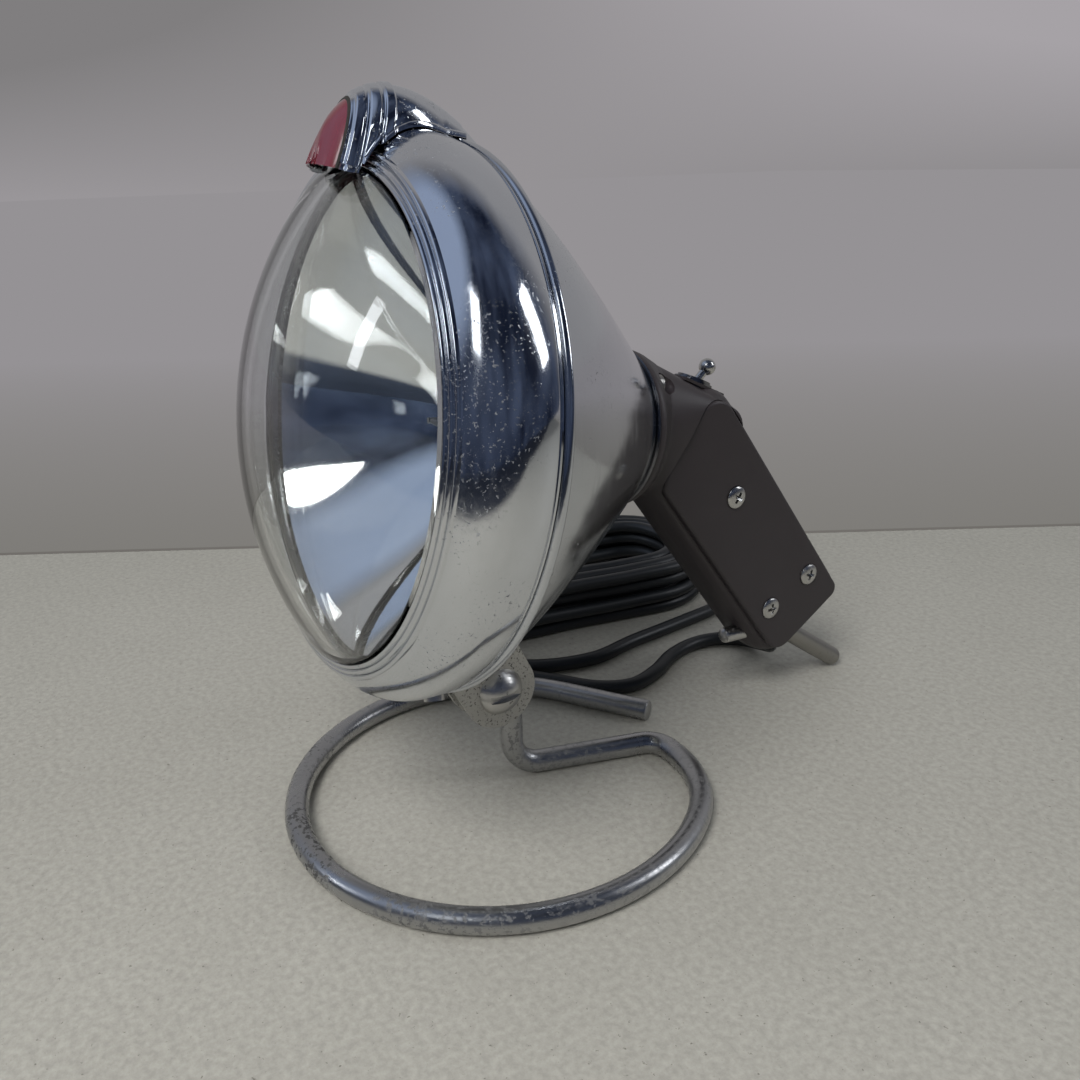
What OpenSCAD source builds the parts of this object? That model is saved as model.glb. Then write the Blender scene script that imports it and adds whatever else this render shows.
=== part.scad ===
// Hand-held portable spotlight on a stand bent from one steel rod.
// Millimetres. +Z is up, the lamp looks along -Y, and the origin is on the table,
// under the middle of the lamp, the stand and the tail rod together.

/* [Stand] */
// Diameter of the bent rod
rod_d = 8; // [7:0.1:9]
// Centreline radius of the ring on the table
ring_r = 69.8; // [62:0.1:80]
// How far the ring's centre lies to the side of the lamp
ring_side = 5.5; // [0:0.1:9]
// How far the clamp axis lies behind the ring's centre
pivot_back = 0.95; // [-6:0.05:6]
// Height of the clamp axis over the table
pivot_z = 39.25; // [34:0.05:52]
// Turn of the eye around the clamp screw, in degrees
eye_sweep = 245; // [200:1:255]
// Bend radius between the post and the arm
post_bend_r = 10; // [8:0.5:12]
// Heading of the arm, in degrees from +X
arm_heading = 73.1; // [70:0.1:77]
// Bend radius between the arm and the shoulder
elbow_r = 9; // [7:0.5:11]
// Radius of the shoulder that leads into the ring
shoulder_r = 45; // [42:0.5:50]
// Where the shoulder meets the ring, in degrees from +X
shoulder_at = 40; // [36:1:44]
// Radius of the arc that closes the ring
closing_r = 62; // [58:0.5:66]
// Where the closing arc leaves the ring, in degrees from +X
closing_at = 190; // [185:1:195]
// Where the closing arc ends, in degrees from +X
closing_end = 122; // [118:1:130]
// Length of the straight free end
free_end = 38; // [30:1:42]

/* [Lamp] */
// How far the lamp looks up, in degrees
tilt = 9.8; // [6:0.1:14]
// Largest radius of the bezel
bezel_r = 81.4; // [80:0.1:84]
// Width of the bezel's face, from the glass to its largest radius
face_w = 12.4; // [11.5:0.1:14]
// Depth of the bezel, from its lip to the seam
bezel_depth = 28.7; // [26:0.1:31]
// Thickness of the chromed sheet
sheet = 1; // [0.8:0.1:1.4]
// Depth of the whole lamp shell, without the grip
shell_depth = 100; // [94:0.5:108]
// Radius of the flat back of the bowl
back_r = 26; // [24:0.5:28]
// Height of the glass dome over the lip
dome = 19; // [14:0.5:26]
// Thickness of the glass
glass = 3.2; // [2.5:0.1:4]
// Focal length of the reflector
focal = 22; // [20:0.5:24]

/* [Bracket] */
// Distance from the clamp axis to the bowl
bracket_reach = 28.2; // [24:0.1:34]
// Width of the bracket
bracket_w = 26.5; // [24:0.5:30]
// Thickness of the bracket's steel
bracket_t = 2.85; // [2:0.05:3.5]
// Diameter of the clamp screw
screw_d = 6.35; // [5:0.05:7]
// Diameter of the clamp screw's head
screw_head_d = 16.5; // [14:0.5:20]
// Height of the clamp screw's head
screw_head_h = 5.2; // [4:0.1:6]

/* [Marker lamp] */
// Half the width of the marker lamp
marker_half_w = 12; // [10:0.5:14]
// Height of the marker lamp over the opening's edge
marker_h = 22.5; // [20:0.5:26]
// Length of the marker lamp
marker_len = 51.5; // [46:0.5:56]
// Lean of the marker's lens, as a slope
marker_lean = 0.27; // [0.1:0.01:0.35]
// Wall of the marker housing
marker_wall = 1.4; // [1:0.1:2]

/* [Grip] */
// Slope of the handle below the lamp's axis, in degrees
grip_slope = 43.9; // [40:0.1:48]
// Length of the handle
grip_len = 112.5; // [104:0.5:124]
// Width of the handle from front to back
grip_w = 38.4; // [35:0.2:42]
// Thickness of the moulded body of the handle
grip_t = 25; // [24:0.5:28]
// Thickness of the side cover
cover_t = 3; // [2.5:0.1:4]
// Wall of the moulded grip
grip_wall = 3.2; // [2.6:0.1:4]
// Diameter of the cover screws' heads
cover_head_d = 8.5; // [7:0.1:9.5]
// Diameter of the toggle's ball
toggle_ball_d = 6; // [5:0.1:7]
// Lean of the toggle away from the lamp, in degrees
toggle_lean = 22; // [16:1:24]

/* [Cord and plug] */
// Diameter of the cord
cord_d = 6; // [5.6:0.1:6.2]
// Turns of the cord in each layer of the hank
turns = 3; // [2:1:3]
// Layers of the hank
layers = 4; // [2:2:4]
// Step from turn to turn
turn_step = 6.7; // [6.7:0.1:7.2]
// Step from layer to layer
layer_step = 6.55; // [6.5:0.05:7]
// Radius of the outermost turn where the hank folds back
hank_r = 38.5; // [37:0.5:42]
// Length of the straight runs of the hank
hank_run = 80; // [70:1:90]
// Diameter of the plug's body
plug_d = 22; // [20:0.5:23]
// Length of the plug's body
plug_len = 46; // [40:1:50]
// Travel of the plug's sprung tip
plug_travel = 2.5; // [1.5:0.1:3]

/* [Hidden] */
$fn = 96;

// Clearances
turn_fit = 0.08; // running fit of the eye on the clamp screw, on the radius
side_fit = 0.15; // each side of the eye, between the ears
hole_fit = 0.05; // a screw in its clearance hole, on the radius
skim = 0.05; // between parts that lie on each other
body_gap = 0.3; // between the cord and the turning head

// Colours
steel = [0.62, 0.62, 0.6];
chrome = [0.82, 0.83, 0.85];
black = [0.14, 0.13, 0.14];
brass = [0.72, 0.58, 0.3];
red = [0.5, 0.08, 0.12];
rubber = [0.1, 0.11, 0.12];

// Plain helpers
function unit(v) = v / norm(v);
function turned(v, a) = [v[0] * cos(a) - v[1] * sin(a), v[0] * sin(a) + v[1] * cos(a)];
function polar(r, a) = [r * cos(a), r * sin(a)];
function steps(a, b, n) = [for (i = [0:n]) a + (b - a) * i / n];
function last(v) = v[len(v) - 1];

// Convex outlines, anticlockwise, as corners [x, y, radius]
function corner_xy(c, i) = let (q = c[(i + len(c)) % len(c)]) [q[0], q[1]];
function shifted_corner(c, i, d) =
    let (a = unit(corner_xy(c, i) - corner_xy(c, i - 1)),
         b = unit(corner_xy(c, i + 1) - corner_xy(c, i)),
         na = [a[1], -a[0]], nb = [b[1], -b[0]],
         q = corner_xy(c, i) + (na + nb) * d / (1 + na * nb))
    [q[0], q[1], max(c[i][2] + d, 0.5)];
function grown(c, d) = [for (i = [0:len(c) - 1]) shifted_corner(c, i, d)];
function corner_arc(c, i, n) =
    let (p = corner_xy(c, i),
         a = unit(corner_xy(c, i - 1) - p),
         b = unit(corner_xy(c, i + 1) - p),
         half = acos(a * b) / 2,
         r = c[i][2],
         m = p + unit(a + b) * r / sin(half),
         start = p + a * r / tan(half) - m,
         sweep = 180 - 2 * half)
    [for (k = [0:n]) m + turned(start, sweep * k / n)];
function outline(c, n = 6) = [for (i = [0:len(c) - 1]) each corner_arc(c, i, n)];

// Stand, in plan, from the ring's centre
rod_r = rod_d / 2;
screw_r = screw_d / 2;
eye_r = rod_r + screw_r + turn_fit;
post = [-ring_side, pivot_back + eye_r];
arm_dir = polar(1, arm_heading);
arm_side = [arm_dir[1], -arm_dir[0]];
arm_start = post + arm_dir * post_bend_r;
shoulder_c = polar(ring_r - shoulder_r, shoulder_at);
elbow_from = post + arm_side * elbow_r - shoulder_c;
elbow_along = elbow_from * arm_dir;
elbow_reach = sqrt(pow(elbow_along, 2) - elbow_from * elbow_from + pow(shoulder_r - elbow_r, 2));
elbow_c = shoulder_c + elbow_from + arm_dir * (elbow_reach - elbow_along);
arm_end = elbow_c - arm_side * elbow_r;
elbow_exit = atan2(elbow_c[1] - shoulder_c[1], elbow_c[0] - shoulder_c[0]);
closing_c = polar(ring_r - closing_r, closing_at);
free_start = closing_c + polar(closing_r, closing_end);
post_foot = rod_r + post_bend_r;
rod_sides = 20;
function flat_arc(c, r, from, to, n) =
    [for (a = steps(from, to, n)) [c[0] + r * cos(a), c[1] + r * sin(a), rod_r]];
rod_path = [
    for (a = steps(eye_sweep, 0, 20))
        [post[0], pivot_back + eye_r * cos(a), pivot_z + eye_r * sin(a)],
    for (a = steps(0, 90, 8)) let (q = arm_start - post_bend_r * cos(a) * arm_dir)
        [q[0], q[1], post_foot - post_bend_r * sin(a)],
    each flat_arc(elbow_c, elbow_r, arm_heading + 90, elbow_exit, 7),
    for (i = [1:6]) flat_arc(shoulder_c, shoulder_r, elbow_exit, shoulder_at, 6)[i],
    for (i = [1:32]) flat_arc([0, 0], ring_r, shoulder_at, closing_at - 360, 32)[i],
    for (i = [1:10]) flat_arc(closing_c, closing_r, closing_at, closing_end, 10)[i],
    let (q = free_start + polar(free_end, closing_end - 90)) [q[0], q[1], rod_r]
];

// Bezel and bowl profiles, as [radius, distance behind the lip]
crown_s = 18; // where the bezel is widest
crown_len = 17.5;
crown_rise = 21.4;
heel_r = 30; // curve behind the crown
bead_r = 0.75;
bead_gap = 1.65;
roll_r = 1.4; // rolled edge of the bowl at the seam
rim_r = bezel_r - face_w; // opening in the bezel
crown_base = bezel_r - crown_rise;
function bezel_at(s) =
    s < crown_s
        ? crown_base + crown_rise * sqrt(1 - pow((crown_s - s) / crown_len, 2))
        : bezel_r - heel_r + sqrt(pow(heel_r, 2) - pow(s - crown_s, 2));
function crown_s_at(r, off) =
    crown_s - (crown_len - off) * cos(asin((r - crown_base) / (crown_rise - off)));
function crown_curve(off) =
    let (start = asin((rim_r - crown_base) / (crown_rise - off)))
    [for (a = steps(start, 90, 14))
        [crown_base + (crown_rise - off) * sin(a), crown_s - (crown_len - off) * cos(a)]];
function heel_curve(off) =
    [for (s = steps(crown_s, bezel_depth, 4))
        [bezel_r - heel_r + sqrt(pow(heel_r - off, 2) - pow(s - crown_s, 2)), s]];
seam_r = bezel_at(bezel_depth);
bowl_p0 = [seam_r, bezel_depth];
bowl_p1 = bowl_p0 + [-8.5, 19.1];
bowl_p2 = [back_r, shell_depth];
function bowl_tangent(t) = unit((1 - t) * (bowl_p1 - bowl_p0) + t * (bowl_p2 - bowl_p1));
function bowl_normal(t) = let (v = bowl_tangent(t)) [v[1], -v[0]];
function bowl_point(t, off) =
    pow(1 - t, 2) * bowl_p0 + 2 * t * (1 - t) * bowl_p1 + t * t * bowl_p2
    + off * bowl_normal(t);
function bowl_curve(off) = [for (t = steps(0, 1, 16)) bowl_point(t, off)];
bowl_qa = bowl_p0[1] - 2 * bowl_p1[1] + bowl_p2[1];
bowl_qb = 2 * (bowl_p1[1] - bowl_p0[1]);
function bowl_at(s) =
    let (t = (-bowl_qb + sqrt(pow(bowl_qb, 2) - 4 * bowl_qa * (bowl_p0[1] - s))) / (2 * bowl_qa))
    bowl_point(t, 0)[0];
spigot_r = last(heel_curve(sheet))[0] - 3 * hole_fit;
spigot_len = 7;
wire_hole_r = 9;

// Bracket and clamp axis, in the lamp's own frame [behind the lip, over the axis]
bracket_t_at = 0.4; // place of the bracket along the bowl's curve
bracket_foot = [bowl_point(bracket_t_at, 0)[1], -bowl_point(bracket_t_at, 0)[0]];
bracket_dir = [bowl_normal(bracket_t_at)[1], -bowl_normal(bracket_t_at)[0]];
pivot = bracket_foot + bracket_reach * bracket_dir;
bracket_angle = atan2(-bracket_dir[1], -bracket_dir[0]) - 90;
ear_in = rod_r + side_fit;
ear_out = ear_in + bracket_t;
washer_t = 1.6;
nut_t = 5.6;
nut_af = 11.1;
rivet_r = 1.6;
rivet_gap = 8;

// Sealed lamp, held behind the lip
glass_edge_r = rim_r - 0.2;
glass_rim_r = rim_r + 4;
gasket_t = 0.8;
seat_s = crown_s_at(glass_rim_r, sheet) + gasket_t;
glass_rim_t = 3;
reflector_rim_t = 2;
reflector_t = 2.5;
dome_s = 1;
dome_power = 2.3; // how flat the dome's middle is
bowl_lip_r = rim_r - 2.5;
reflector_s = seat_s + glass_rim_t;
vertex_s = reflector_s + pow(bowl_lip_r, 2) / (4 * focal);
focus_s = vertex_s - focal;
boss_r = 14;
boss_t = 4;
ring_s = reflector_s + reflector_rim_t;
ring_t = 1.2;
terminal_gap = 8;
terminal_r = 3;
terminal_t = 4;
post_gap = 5;
boss_s = vertex_s + reflector_t + boss_t;

// Marker lamp, in the lamp's own frame
marker_front = -7.5;
marker_peak = 13.9;
marker_foot = rim_r - 1;
marker_split = 0;
marker_rise = marker_h + 0.5;
marker_drop = 14.5;
marker_tail = marker_front + marker_len;
marker_flange = 1.5;
rib_h = 0.8;
flange_h = 1.4;
seat_gap = 0.3;
bulb_r = 2.6;
socket_r = 4.2;
socket_s = 21;
marker_screw_s = 15;
marker_screw_x = 7;
marker_boss_r = 2.8;

// Grip, from a point at its shoulder, x along the handle and y to its back
grip_at = [130, 10];
shoulder_x = -3;
back_y = 8.4;
front_y = back_y - grip_w;
throat_x = 9;
cover = [
    [shoulder_x, back_y, 9],
    [throat_x, front_y, 7],
    [grip_len - 3, front_y, 8],
    [grip_len, back_y, 4]
];
cover_x = 11; // inner face of the side cover
far_x = cover_x - grip_t;
crown = 2.6; // how far the handle swells between its sides
edge = 1.6; // how far the body stands out past the cover
cavity = grown(cover, -grip_wall);
trim_t = 1.2;
flange_r = back_r + 0.5;
flange_s = shell_depth + trim_t;
waist_s = shell_depth + 12.5; // where the neck's flare ends
waist_r = 23;
waist_half = 16.2;
shoulder_at_s = [141, 1.8];
shoulder_round = 11.3;
throat_at_s = [126.3, -17];
throat_round = 6;
cover_points = [[37.5, -8.5], [grip_len - 19.5, 0.1], [grip_len - 23.4, front_y + 8.8]];
cover_screw_r = 1.9;
cover_boss_r = 4.6;
neck_screw_at = [12, 16.5];
neck_screw_r = 1.8;
neck_bore_r = 4;

// Toggle switch, standing on the slope of the neck
switch_at = [134, 15.36];
switch_slope = 15.6;
switch_w = 14;
switch_l = 19;
switch_plate_t = 1;
switch_wall = 4;
switch_box = [13, 18, 14];
bushing_r = 6;
bushing_bore = 4;
bushing_top = 2.6;
toggle_depth = 1.5;
toggle_len = 10.3;
toggle_stem_r = 1.5;

// Tail rod through the end of the handle, in the handle's own plan
peg_r = 3;
peg_from = [grip_len - 8.5, front_y + 7];
peg_to = [grip_len - 22.6, front_y - 9.4];
prong_from = [grip_len - 6.5, back_y - 28];
prong_slope = 18.1;
prong_len = 44.3;
prong_to = prong_from + polar(prong_len, prong_slope);
tail_x = 4.5;

// Cord exit, in the handle's own plan
exit_x = -7;
exit_at = [grip_len - 4.9, front_y + 10.8];
relief_in = 5;
relief_out = 12;
relief_r = 5.2;

// Places in the part's own frame
function head_yz(p) = turned(p - pivot, -tilt) + [ring_y + pivot_back, pivot_z];
function grip_sh(p) = grip_at + turned(p, -grip_slope);
prong_tip = turned(grip_sh(prong_to) - pivot, -tilt) + [pivot_back, pivot_z];
prong_fall = grip_slope + tilt - prong_slope;
tip_dome = 0.6 * rod_r;
tip_reach = norm([tip_dome * cos(prong_fall), rod_r * sin(prong_fall)]);
ring_y = -(prong_tip[0] + tip_reach - ring_r - rod_r) / 2;

// Cord: free stretch from the grip, round the hank once, in the hank's own plan
cord_r = cord_d / 2;
cord_z = cord_r + skim;
hank_at = [-119.5, 56.5];
hank_turn = -10;
top_z = cord_z + (layers - 1) * layer_step;
lead_points = [
    [103, 56, 11], [97, 60, 6.5], [89, 60, 4], [81, 56, 3], [76, 47, 3], [76, 34, 3],
    [82, 20, 3], [92, 7, 3], [98, -7, 3], [94, -21, 3], [82, -34, 3], [68, -51, 3],
    [60, -70, 3], [46, -87, 3], [24, -97, 3], [-6, -98, 3], [-32, -88, 3], [-45, -66, 3],
    [-47, -40, 3], [-47, -12, 3], [-47, 16, 3], [-45, 46, 3], [-34, 74, 3], [-8, 90, 3],
    [22, 87, 3], [44, 68, 3], [54, 40, 3], [62, 12, 3], [70, -14, 3],
    [64, -42, 3], [44, -66, 3], [20, -77, 3]
];
// Free stretch from the top of the hank to the plug
tail_points = [[-22, -80, 21.5], [-44, -79, 18], [-61, -70, 14.5], [-69, -56, 12]];
plug_at = [-70, -44];
plug_r = plug_d / 2;
plug_z = plug_r + skim;
plug_relief_len = 15;
barrel_r = 10.4; // the part that goes into a socket
barrel_len = 18;
contact_t = 1;
plug_nose_len = 14;
plug_tip_r = 3;

function hank_xy(p) = hank_at + turned([p[0], p[1]], hank_turn);
function hank_xyz(p) = let (q = hank_xy(p)) [q[0], q[1], p[2] + cord_z - 3];

// Hank: 24 points a turn, clockwise from the left end
loop_n = 24;
arc_n = 8;
hank_n = loop_n * turns * layers;
hank_first = 4;
hank_in_r = hank_r - turns * turn_step;
function hank_radius(k) =
    let (m = k % (2 * loop_n * turns))
    m < loop_n * turns
        ? hank_r - turn_step * m / loop_n
        : hank_in_r + turn_step * (m - loop_n * turns) / loop_n;
function climb(u) = u <= 0 ? 0 : u >= 1 ? 1 : u;
function hank_height(k) =
    cord_z + layer_step * max([0, each [for (n = [1:layers - 1])
        n - 1 + climb((k - n * loop_n * turns + loop_n / 4) / (loop_n / 2))
            - (k < n * loop_n * turns - loop_n / 4 ? n : 0)]]);
function hank_plan(i, a) =
    i <= arc_n ? [0, -hank_run / 2] + polar(a, -180 * i / arc_n)
    : i < 12 ? [-a, -hank_run / 2 + hank_run * (i - arc_n) / 4]
    : i <= 12 + arc_n ? [0, hank_run / 2] + polar(a, 180 - 180 * (i - 12) / arc_n)
    : [a, hank_run / 2 - hank_run * (i - 20) / 4];
function hank_local(k) =
    let (q = hank_plan((k + hank_first) % loop_n, hank_radius(k)))
    [q[0], q[1], hank_height(k)];
function placed(p) = let (q = hank_xy(p)) [q[0], q[1], p[2]];
hank_in = hank_local(0);
hank_out = hank_local(hank_n);
hank_path = [
    placed(hank_in + [cord_d, 0, 0]),
    for (k = [0:hank_n]) placed(hank_local(k)),
    placed(hank_out - [cord_d, 0, 0])
];

// Least gap of the hank to itself, from each point to each run
function run_distance(p, a, b) =
    let (u = b - a, t = max(0, min(1, (p - a) * u / (u * u)))) norm(p - a - t * u);
hank_gap = min([
    for (i = [0:len(hank_path) - 1])
        for (j = [i + 12:1:len(hank_path) - 2])
            run_distance(hank_path[i], hank_path[j], hank_path[j + 1])
]) - cord_d;
echo(least_gap_in_hank = hank_gap);

// Free stretches: a smooth curve through the chosen points
function spline(p, i, t) =
    let (a = p[max(i - 1, 0)], b = p[i], c = p[i + 1], d = p[min(i + 2, len(p) - 1)])
    0.5 * (2 * b + (c - a) * t + (2 * a - 5 * b + 4 * c - d) * t * t
        + (3 * b - a - 3 * c + d) * t * t * t);
function smooth(p, n) =
    [for (i = [0:len(p) - 2]) for (k = [0:n - 1]) spline(p, i, k / n), last(p)];
function path_length(p) = [for (i = [1:len(p) - 1]) norm(p[i] - p[i - 1])] * [for (i = [1:len(p) - 1]) 1];

relief_end = grip_sh(exit_at) + relief_out * turned([1, 0], -grip_slope);
relief_dir = turned([1, 0], -grip_slope - tilt);
lead_start = let (q = head_yz(relief_end))
    [exit_x, q[0] + body_gap * relief_dir[0], q[1] + body_gap * relief_dir[1]];
lead_first = lead_start + cord_d * [0, relief_dir[0], relief_dir[1]];
lead_path = [
    lead_start,
    each smooth([lead_first, for (p = lead_points) hank_xyz(p), hank_path[0]], 2)
];
tail_path = [
    each smooth([last(hank_path), for (p = tail_points) hank_xyz(p),
        placed([plug_at[0], plug_at[1] - cord_d, plug_z])], 2),
    placed([plug_at[0], plug_at[1], plug_z])
];
echo(cord_length = path_length(lead_path) + path_length(hank_path) + path_length(tail_path));
echo(lead_rings = len(lead_path), tail_rings = len(tail_path));

// A tube along a path, closed at both ends; its first side direction is carried along
function heading(p, i) = unit(p[min(i + 1, len(p) - 1)] - p[max(i - 1, 0)]);
function square_to(v, f) = unit(v - (v * f) * f);
function carried(p, first) =
    [for (i = 0, v = first; i < len(p); i = i + 1, v = square_to(v, heading(p, min(i, len(p) - 1)))) v];
module tube(path, d, sides, first = [1, 0, 0], twist = 0) {
    n = len(path);
    frames = carried(path, square_to(first, heading(path, 0)));
    points = [
        for (i = [0:n - 1])
            let (f = heading(path, i), side = square_to(frames[i], f), up = cross(side, f))
            for (k = [0:sides - 1])
                let (a = 360 * k / sides + twist)
                path[i] + d / 2 * (cos(a) * up + sin(a) * side)
    ];
    skin = [
        for (i = [0:n - 2])
            for (k = [0:sides - 1])
                let (a = i * sides + k, b = i * sides + (k + 1) % sides)
                each [[a, b, a + sides], [b, b + sides, a + sides]]
    ];
    polyhedron(points, concat(skin,
        [[for (k = [0:sides - 1]) sides - 1 - k]],
        [[for (k = [0:sides - 1]) (n - 1) * sides + k]]), 4);
}

// Frames: the head turns about the clamp axis, the handle slopes down from its shoulder
module head() {
    translate([0, ring_y + pivot_back, pivot_z])
        rotate([-tilt, 0, 0])
            translate([0, -pivot[0], -pivot[1]])
                children();
}
module lathe(points) {
    rotate([-90, 0, 0]) rotate_extrude() polygon(points);
}
module slab(x0, x1) {
    translate([x0, 0, 0]) rotate([90, 0, 90]) linear_extrude(x1 - x0) children();
}
module handle() {
    translate([0, grip_at[0], grip_at[1]]) rotate([-grip_slope, 0, 0]) children();
}
module across(at, r, x0, x1) {
    translate([x0, at[0], at[1]]) rotate([0, 90, 0]) cylinder(r = r, h = x1 - x0);
}
module switch_frame() {
    translate([0, switch_at[0], switch_at[1]]) rotate([-switch_slope, 0, 0]) children();
}
module plug_frame() {
    q = placed([plug_at[0], plug_at[1], plug_z]);
    translate(q) rotate([0, 0, hank_turn]) rotate([-90, 0, 0]) children();
}
module hank_frame() {
    translate([hank_at[0], hank_at[1], 0]) rotate([0, 0, hank_turn]) children();
}

// Stand
module stand_rod() {
    color(steel) translate([ring_side, ring_y, 0])
        tube(rod_path, rod_d, rod_sides, [1, 0, 0], arm_heading);
}

// Bracket, clamp screw and rivets, along the bracket's own axis
module at_bracket() {
    translate([0, pivot[0], pivot[1]]) rotate([bracket_angle, 0, 0]) children();
}
module bowl_solid(off) {
    lathe(concat([[0, bezel_depth - 5], [seam_r + off, bezel_depth - 5]], bowl_curve(off),
        [[0, shell_depth + off]]));
}
module bracket() {
    color(steel) head() difference() {
        at_bracket() slab(-ear_out, ear_out) {
            circle(d = bracket_w);
            translate([-bracket_w / 2, 0]) square([bracket_w, bracket_reach + 8]);
        }
        bowl_solid(skim);
        difference() {
            at_bracket() slab(-ear_in, ear_in)
                translate([-bracket_w, -bracket_w]) square([2 * bracket_w, 2 * bracket_w + 20]);
            bowl_solid(bracket_t);
        }
        across(pivot, screw_r + hole_fit, -ear_out - 1, ear_out + 1);
        rivet_places() cylinder(r = rivet_r + hole_fit, h = 20);
    }
}
module rivet_places() {
    at_bracket() for (k = [-1, 1])
        translate([0, k * rivet_gap, bracket_reach - 8]) children();
}
module bracket_rivets() {
    color(steel) head() {
        difference() {
            rivet_places() translate([0, 0, 8 - bracket_t - 1.6]) cylinder(r = 2 * rivet_r, h = 6);
            bowl_solid(bracket_t);
        }
        intersection() {
            rivet_places() translate([0, 0, 2]) cylinder(r = 2 * rivet_r, h = 9.4 + sheet);
            bowl_solid(-sheet - skim);
        }
        rivet_places() translate([0, 0, 8 - bracket_t - 1]) cylinder(r = rivet_r, h = bracket_t + sheet + 2);
    }
}
module clamp_screw() {
    dome_r = (pow(screw_head_d / 2, 2) + pow(screw_head_h, 2)) / (2 * screw_head_h);
    low = screw_head_h - dome_r;
    end = -2 * ear_out - washer_t - nut_t - 2;
    arc = [for (a = steps(90, asin(-low / dome_r), 10)) [dome_r * cos(a), low + dome_r * sin(a)]];
    color(chrome) head() translate([ear_out, pivot[0], pivot[1]]) difference() {
        rotate([0, 90, 0]) rotate_extrude()
            polygon(concat([for (q = arc) [max(q[0], 0), q[1]]], [[screw_r, 0], [screw_r, end], [0, end]]));
        translate([screw_head_h - 2, 0, 0]) rotate([tilt + 4, 0, 0])
            translate([0, -screw_head_d, -1.3]) cube([5, 2 * screw_head_d, 2.6]);
    }
}
module clamp_nut() {
    color(steel) head() translate([-ear_out - washer_t - nut_t, pivot[0], pivot[1]])
        rotate([0, 90, 0]) difference() {
            cylinder(d = nut_af / cos(30), h = nut_t, $fn = 6);
            translate([0, 0, -1]) cylinder(r = screw_r, h = nut_t + 2);
        }
}
module lock_washer() {
    color(steel) head() translate([-ear_out - washer_t, pivot[0], pivot[1]])
        rotate([0, 90, 0]) difference() {
            cylinder(r = screw_r + 2.9, h = washer_t);
            translate([0, 0, -1]) cylinder(r = screw_r + hole_fit, h = washer_t + 2);
            rotate([0, 0, 25]) translate([0, -0.5, -1]) cube([screw_d, 1, washer_t + 2]);
        }
}

// Chromed shell
module bezel_screw_place() {
    rotate([0, -25, 0]) translate([0, bezel_depth - 3.4, -bezel_at(bezel_depth - 3.4)]) children();
}
module front_bezel() {
    back = [for (i = [4:-1:0]) heel_curve(sheet)[i]];
    inner = [for (i = [14:-1:0]) crown_curve(sheet)[i]];
    color(chrome) head() difference() {
        union() {
            lathe(concat(crown_curve(0), heel_curve(0), back, inner));
            for (k = [0:2]) let (r = rim_r + bead_r + k * bead_gap)
                rotate([-90, 0, 0]) translate([0, 0, crown_s_at(r, 0) + 0.1])
                    rotate_extrude() translate([r, 0]) circle(r = bead_r, $fn = 24);
        }
        bezel_screw_place() translate([0, 0, -2]) cylinder(r = 1.5 + hole_fit, h = 6);
        translate([0, socket_s, bezel_r - 8]) cylinder(r = socket_r + hole_fit, h = 12);
        marker_screw_places() translate([0, 0, -3]) cylinder(r = 1.5 + hole_fit, h = 6);
    }
}
module bezel_screw() {
    color(chrome) head() {
        difference() {
            bezel_screw_place() translate([0, 0, -1.8]) cylinder(r = 3, h = 4);
            lathe(concat([[0, crown_s]], [for (p = heel_curve(-skim)) p], [[0, bezel_depth]]));
        }
        bezel_screw_place() translate([0, 0, -0.6]) cylinder(r = 1.5, h = 5.6);
    }
}
module rear_bowl() {
    hole = wire_hole_r + hole_fit;
    outer = bowl_curve(0);
    inner = [for (i = [16:-1:0]) bowl_curve(-sheet)[i]];
    color(chrome) head() difference() {
        union() {
            lathe(concat(outer, [[hole, shell_depth], [hole, shell_depth - sheet],
                [last(bowl_curve(-sheet))[0], shell_depth - sheet]], [for (i = [1:16]) inner[i]]));
            lathe([[spigot_r, bezel_depth - spigot_len], [spigot_r, bezel_depth + 1.6],
                [spigot_r - sheet - 0.6, bezel_depth + 1.6], [spigot_r - sheet, bezel_depth - spigot_len]]);
            rotate([-90, 0, 0]) translate([0, 0, bezel_depth + roll_r + skim]) rotate_extrude()
                translate([seam_r - 0.2, 0]) circle(r = roll_r, $fn = 32);
        }
        rivet_places() cylinder(r = rivet_r + hole_fit, h = 20);
        neck_screw_places() translate([0, 0, -8]) cylinder(r = neck_screw_r + hole_fit, h = 20);
        bezel_screw_place() translate([0, 0, -2]) cylinder(r = 1.5 + hole_fit, h = 12);
    }
}

// Sealed lamp
module lamp_gasket() {
    color(black) head() lathe([[rim_r + 1, seat_s], [rim_r + 1, seat_s - gasket_t],
        [glass_rim_r - 0.2, seat_s - gasket_t], [glass_rim_r - 0.2, seat_s]]);
}
function dome_at(r, edge_r, rise, base) = base - rise * (1 - pow(r / edge_r, dome_power));
module lens_glass() {
    rise = dome + dome_s;
    outer = [for (r = steps(0, glass_edge_r, 16)) [r, dome_at(r, glass_edge_r, rise, dome_s)]];
    inner = [for (r = steps(bowl_lip_r, 0, 14))
        [r, dome_at(r, bowl_lip_r, rise, dome_s + glass)]];
    color([0.85, 0.9, 0.92, 0.45]) head() lathe(concat(outer,
        [[glass_edge_r, seat_s], [glass_rim_r, seat_s], [glass_rim_r, seat_s + glass_rim_t],
        [bowl_lip_r, seat_s + glass_rim_t]], inner));
}
module reflector() {
    inner = [for (r = steps(0, bowl_lip_r, 14)) [r, vertex_s - r * r / (4 * focal)]];
    outer = [for (r = steps(bowl_lip_r + reflector_t - 1, boss_r, 12))
        [r, vertex_s + reflector_t - r * r / (4 * focal)]];
    color(chrome) head() lathe(concat(inner, [[glass_rim_r, reflector_s],
        [glass_rim_r, ring_s], [bowl_lip_r + 3, ring_s]], outer, [[boss_r, boss_s], [0, boss_s]]));
}
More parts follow.
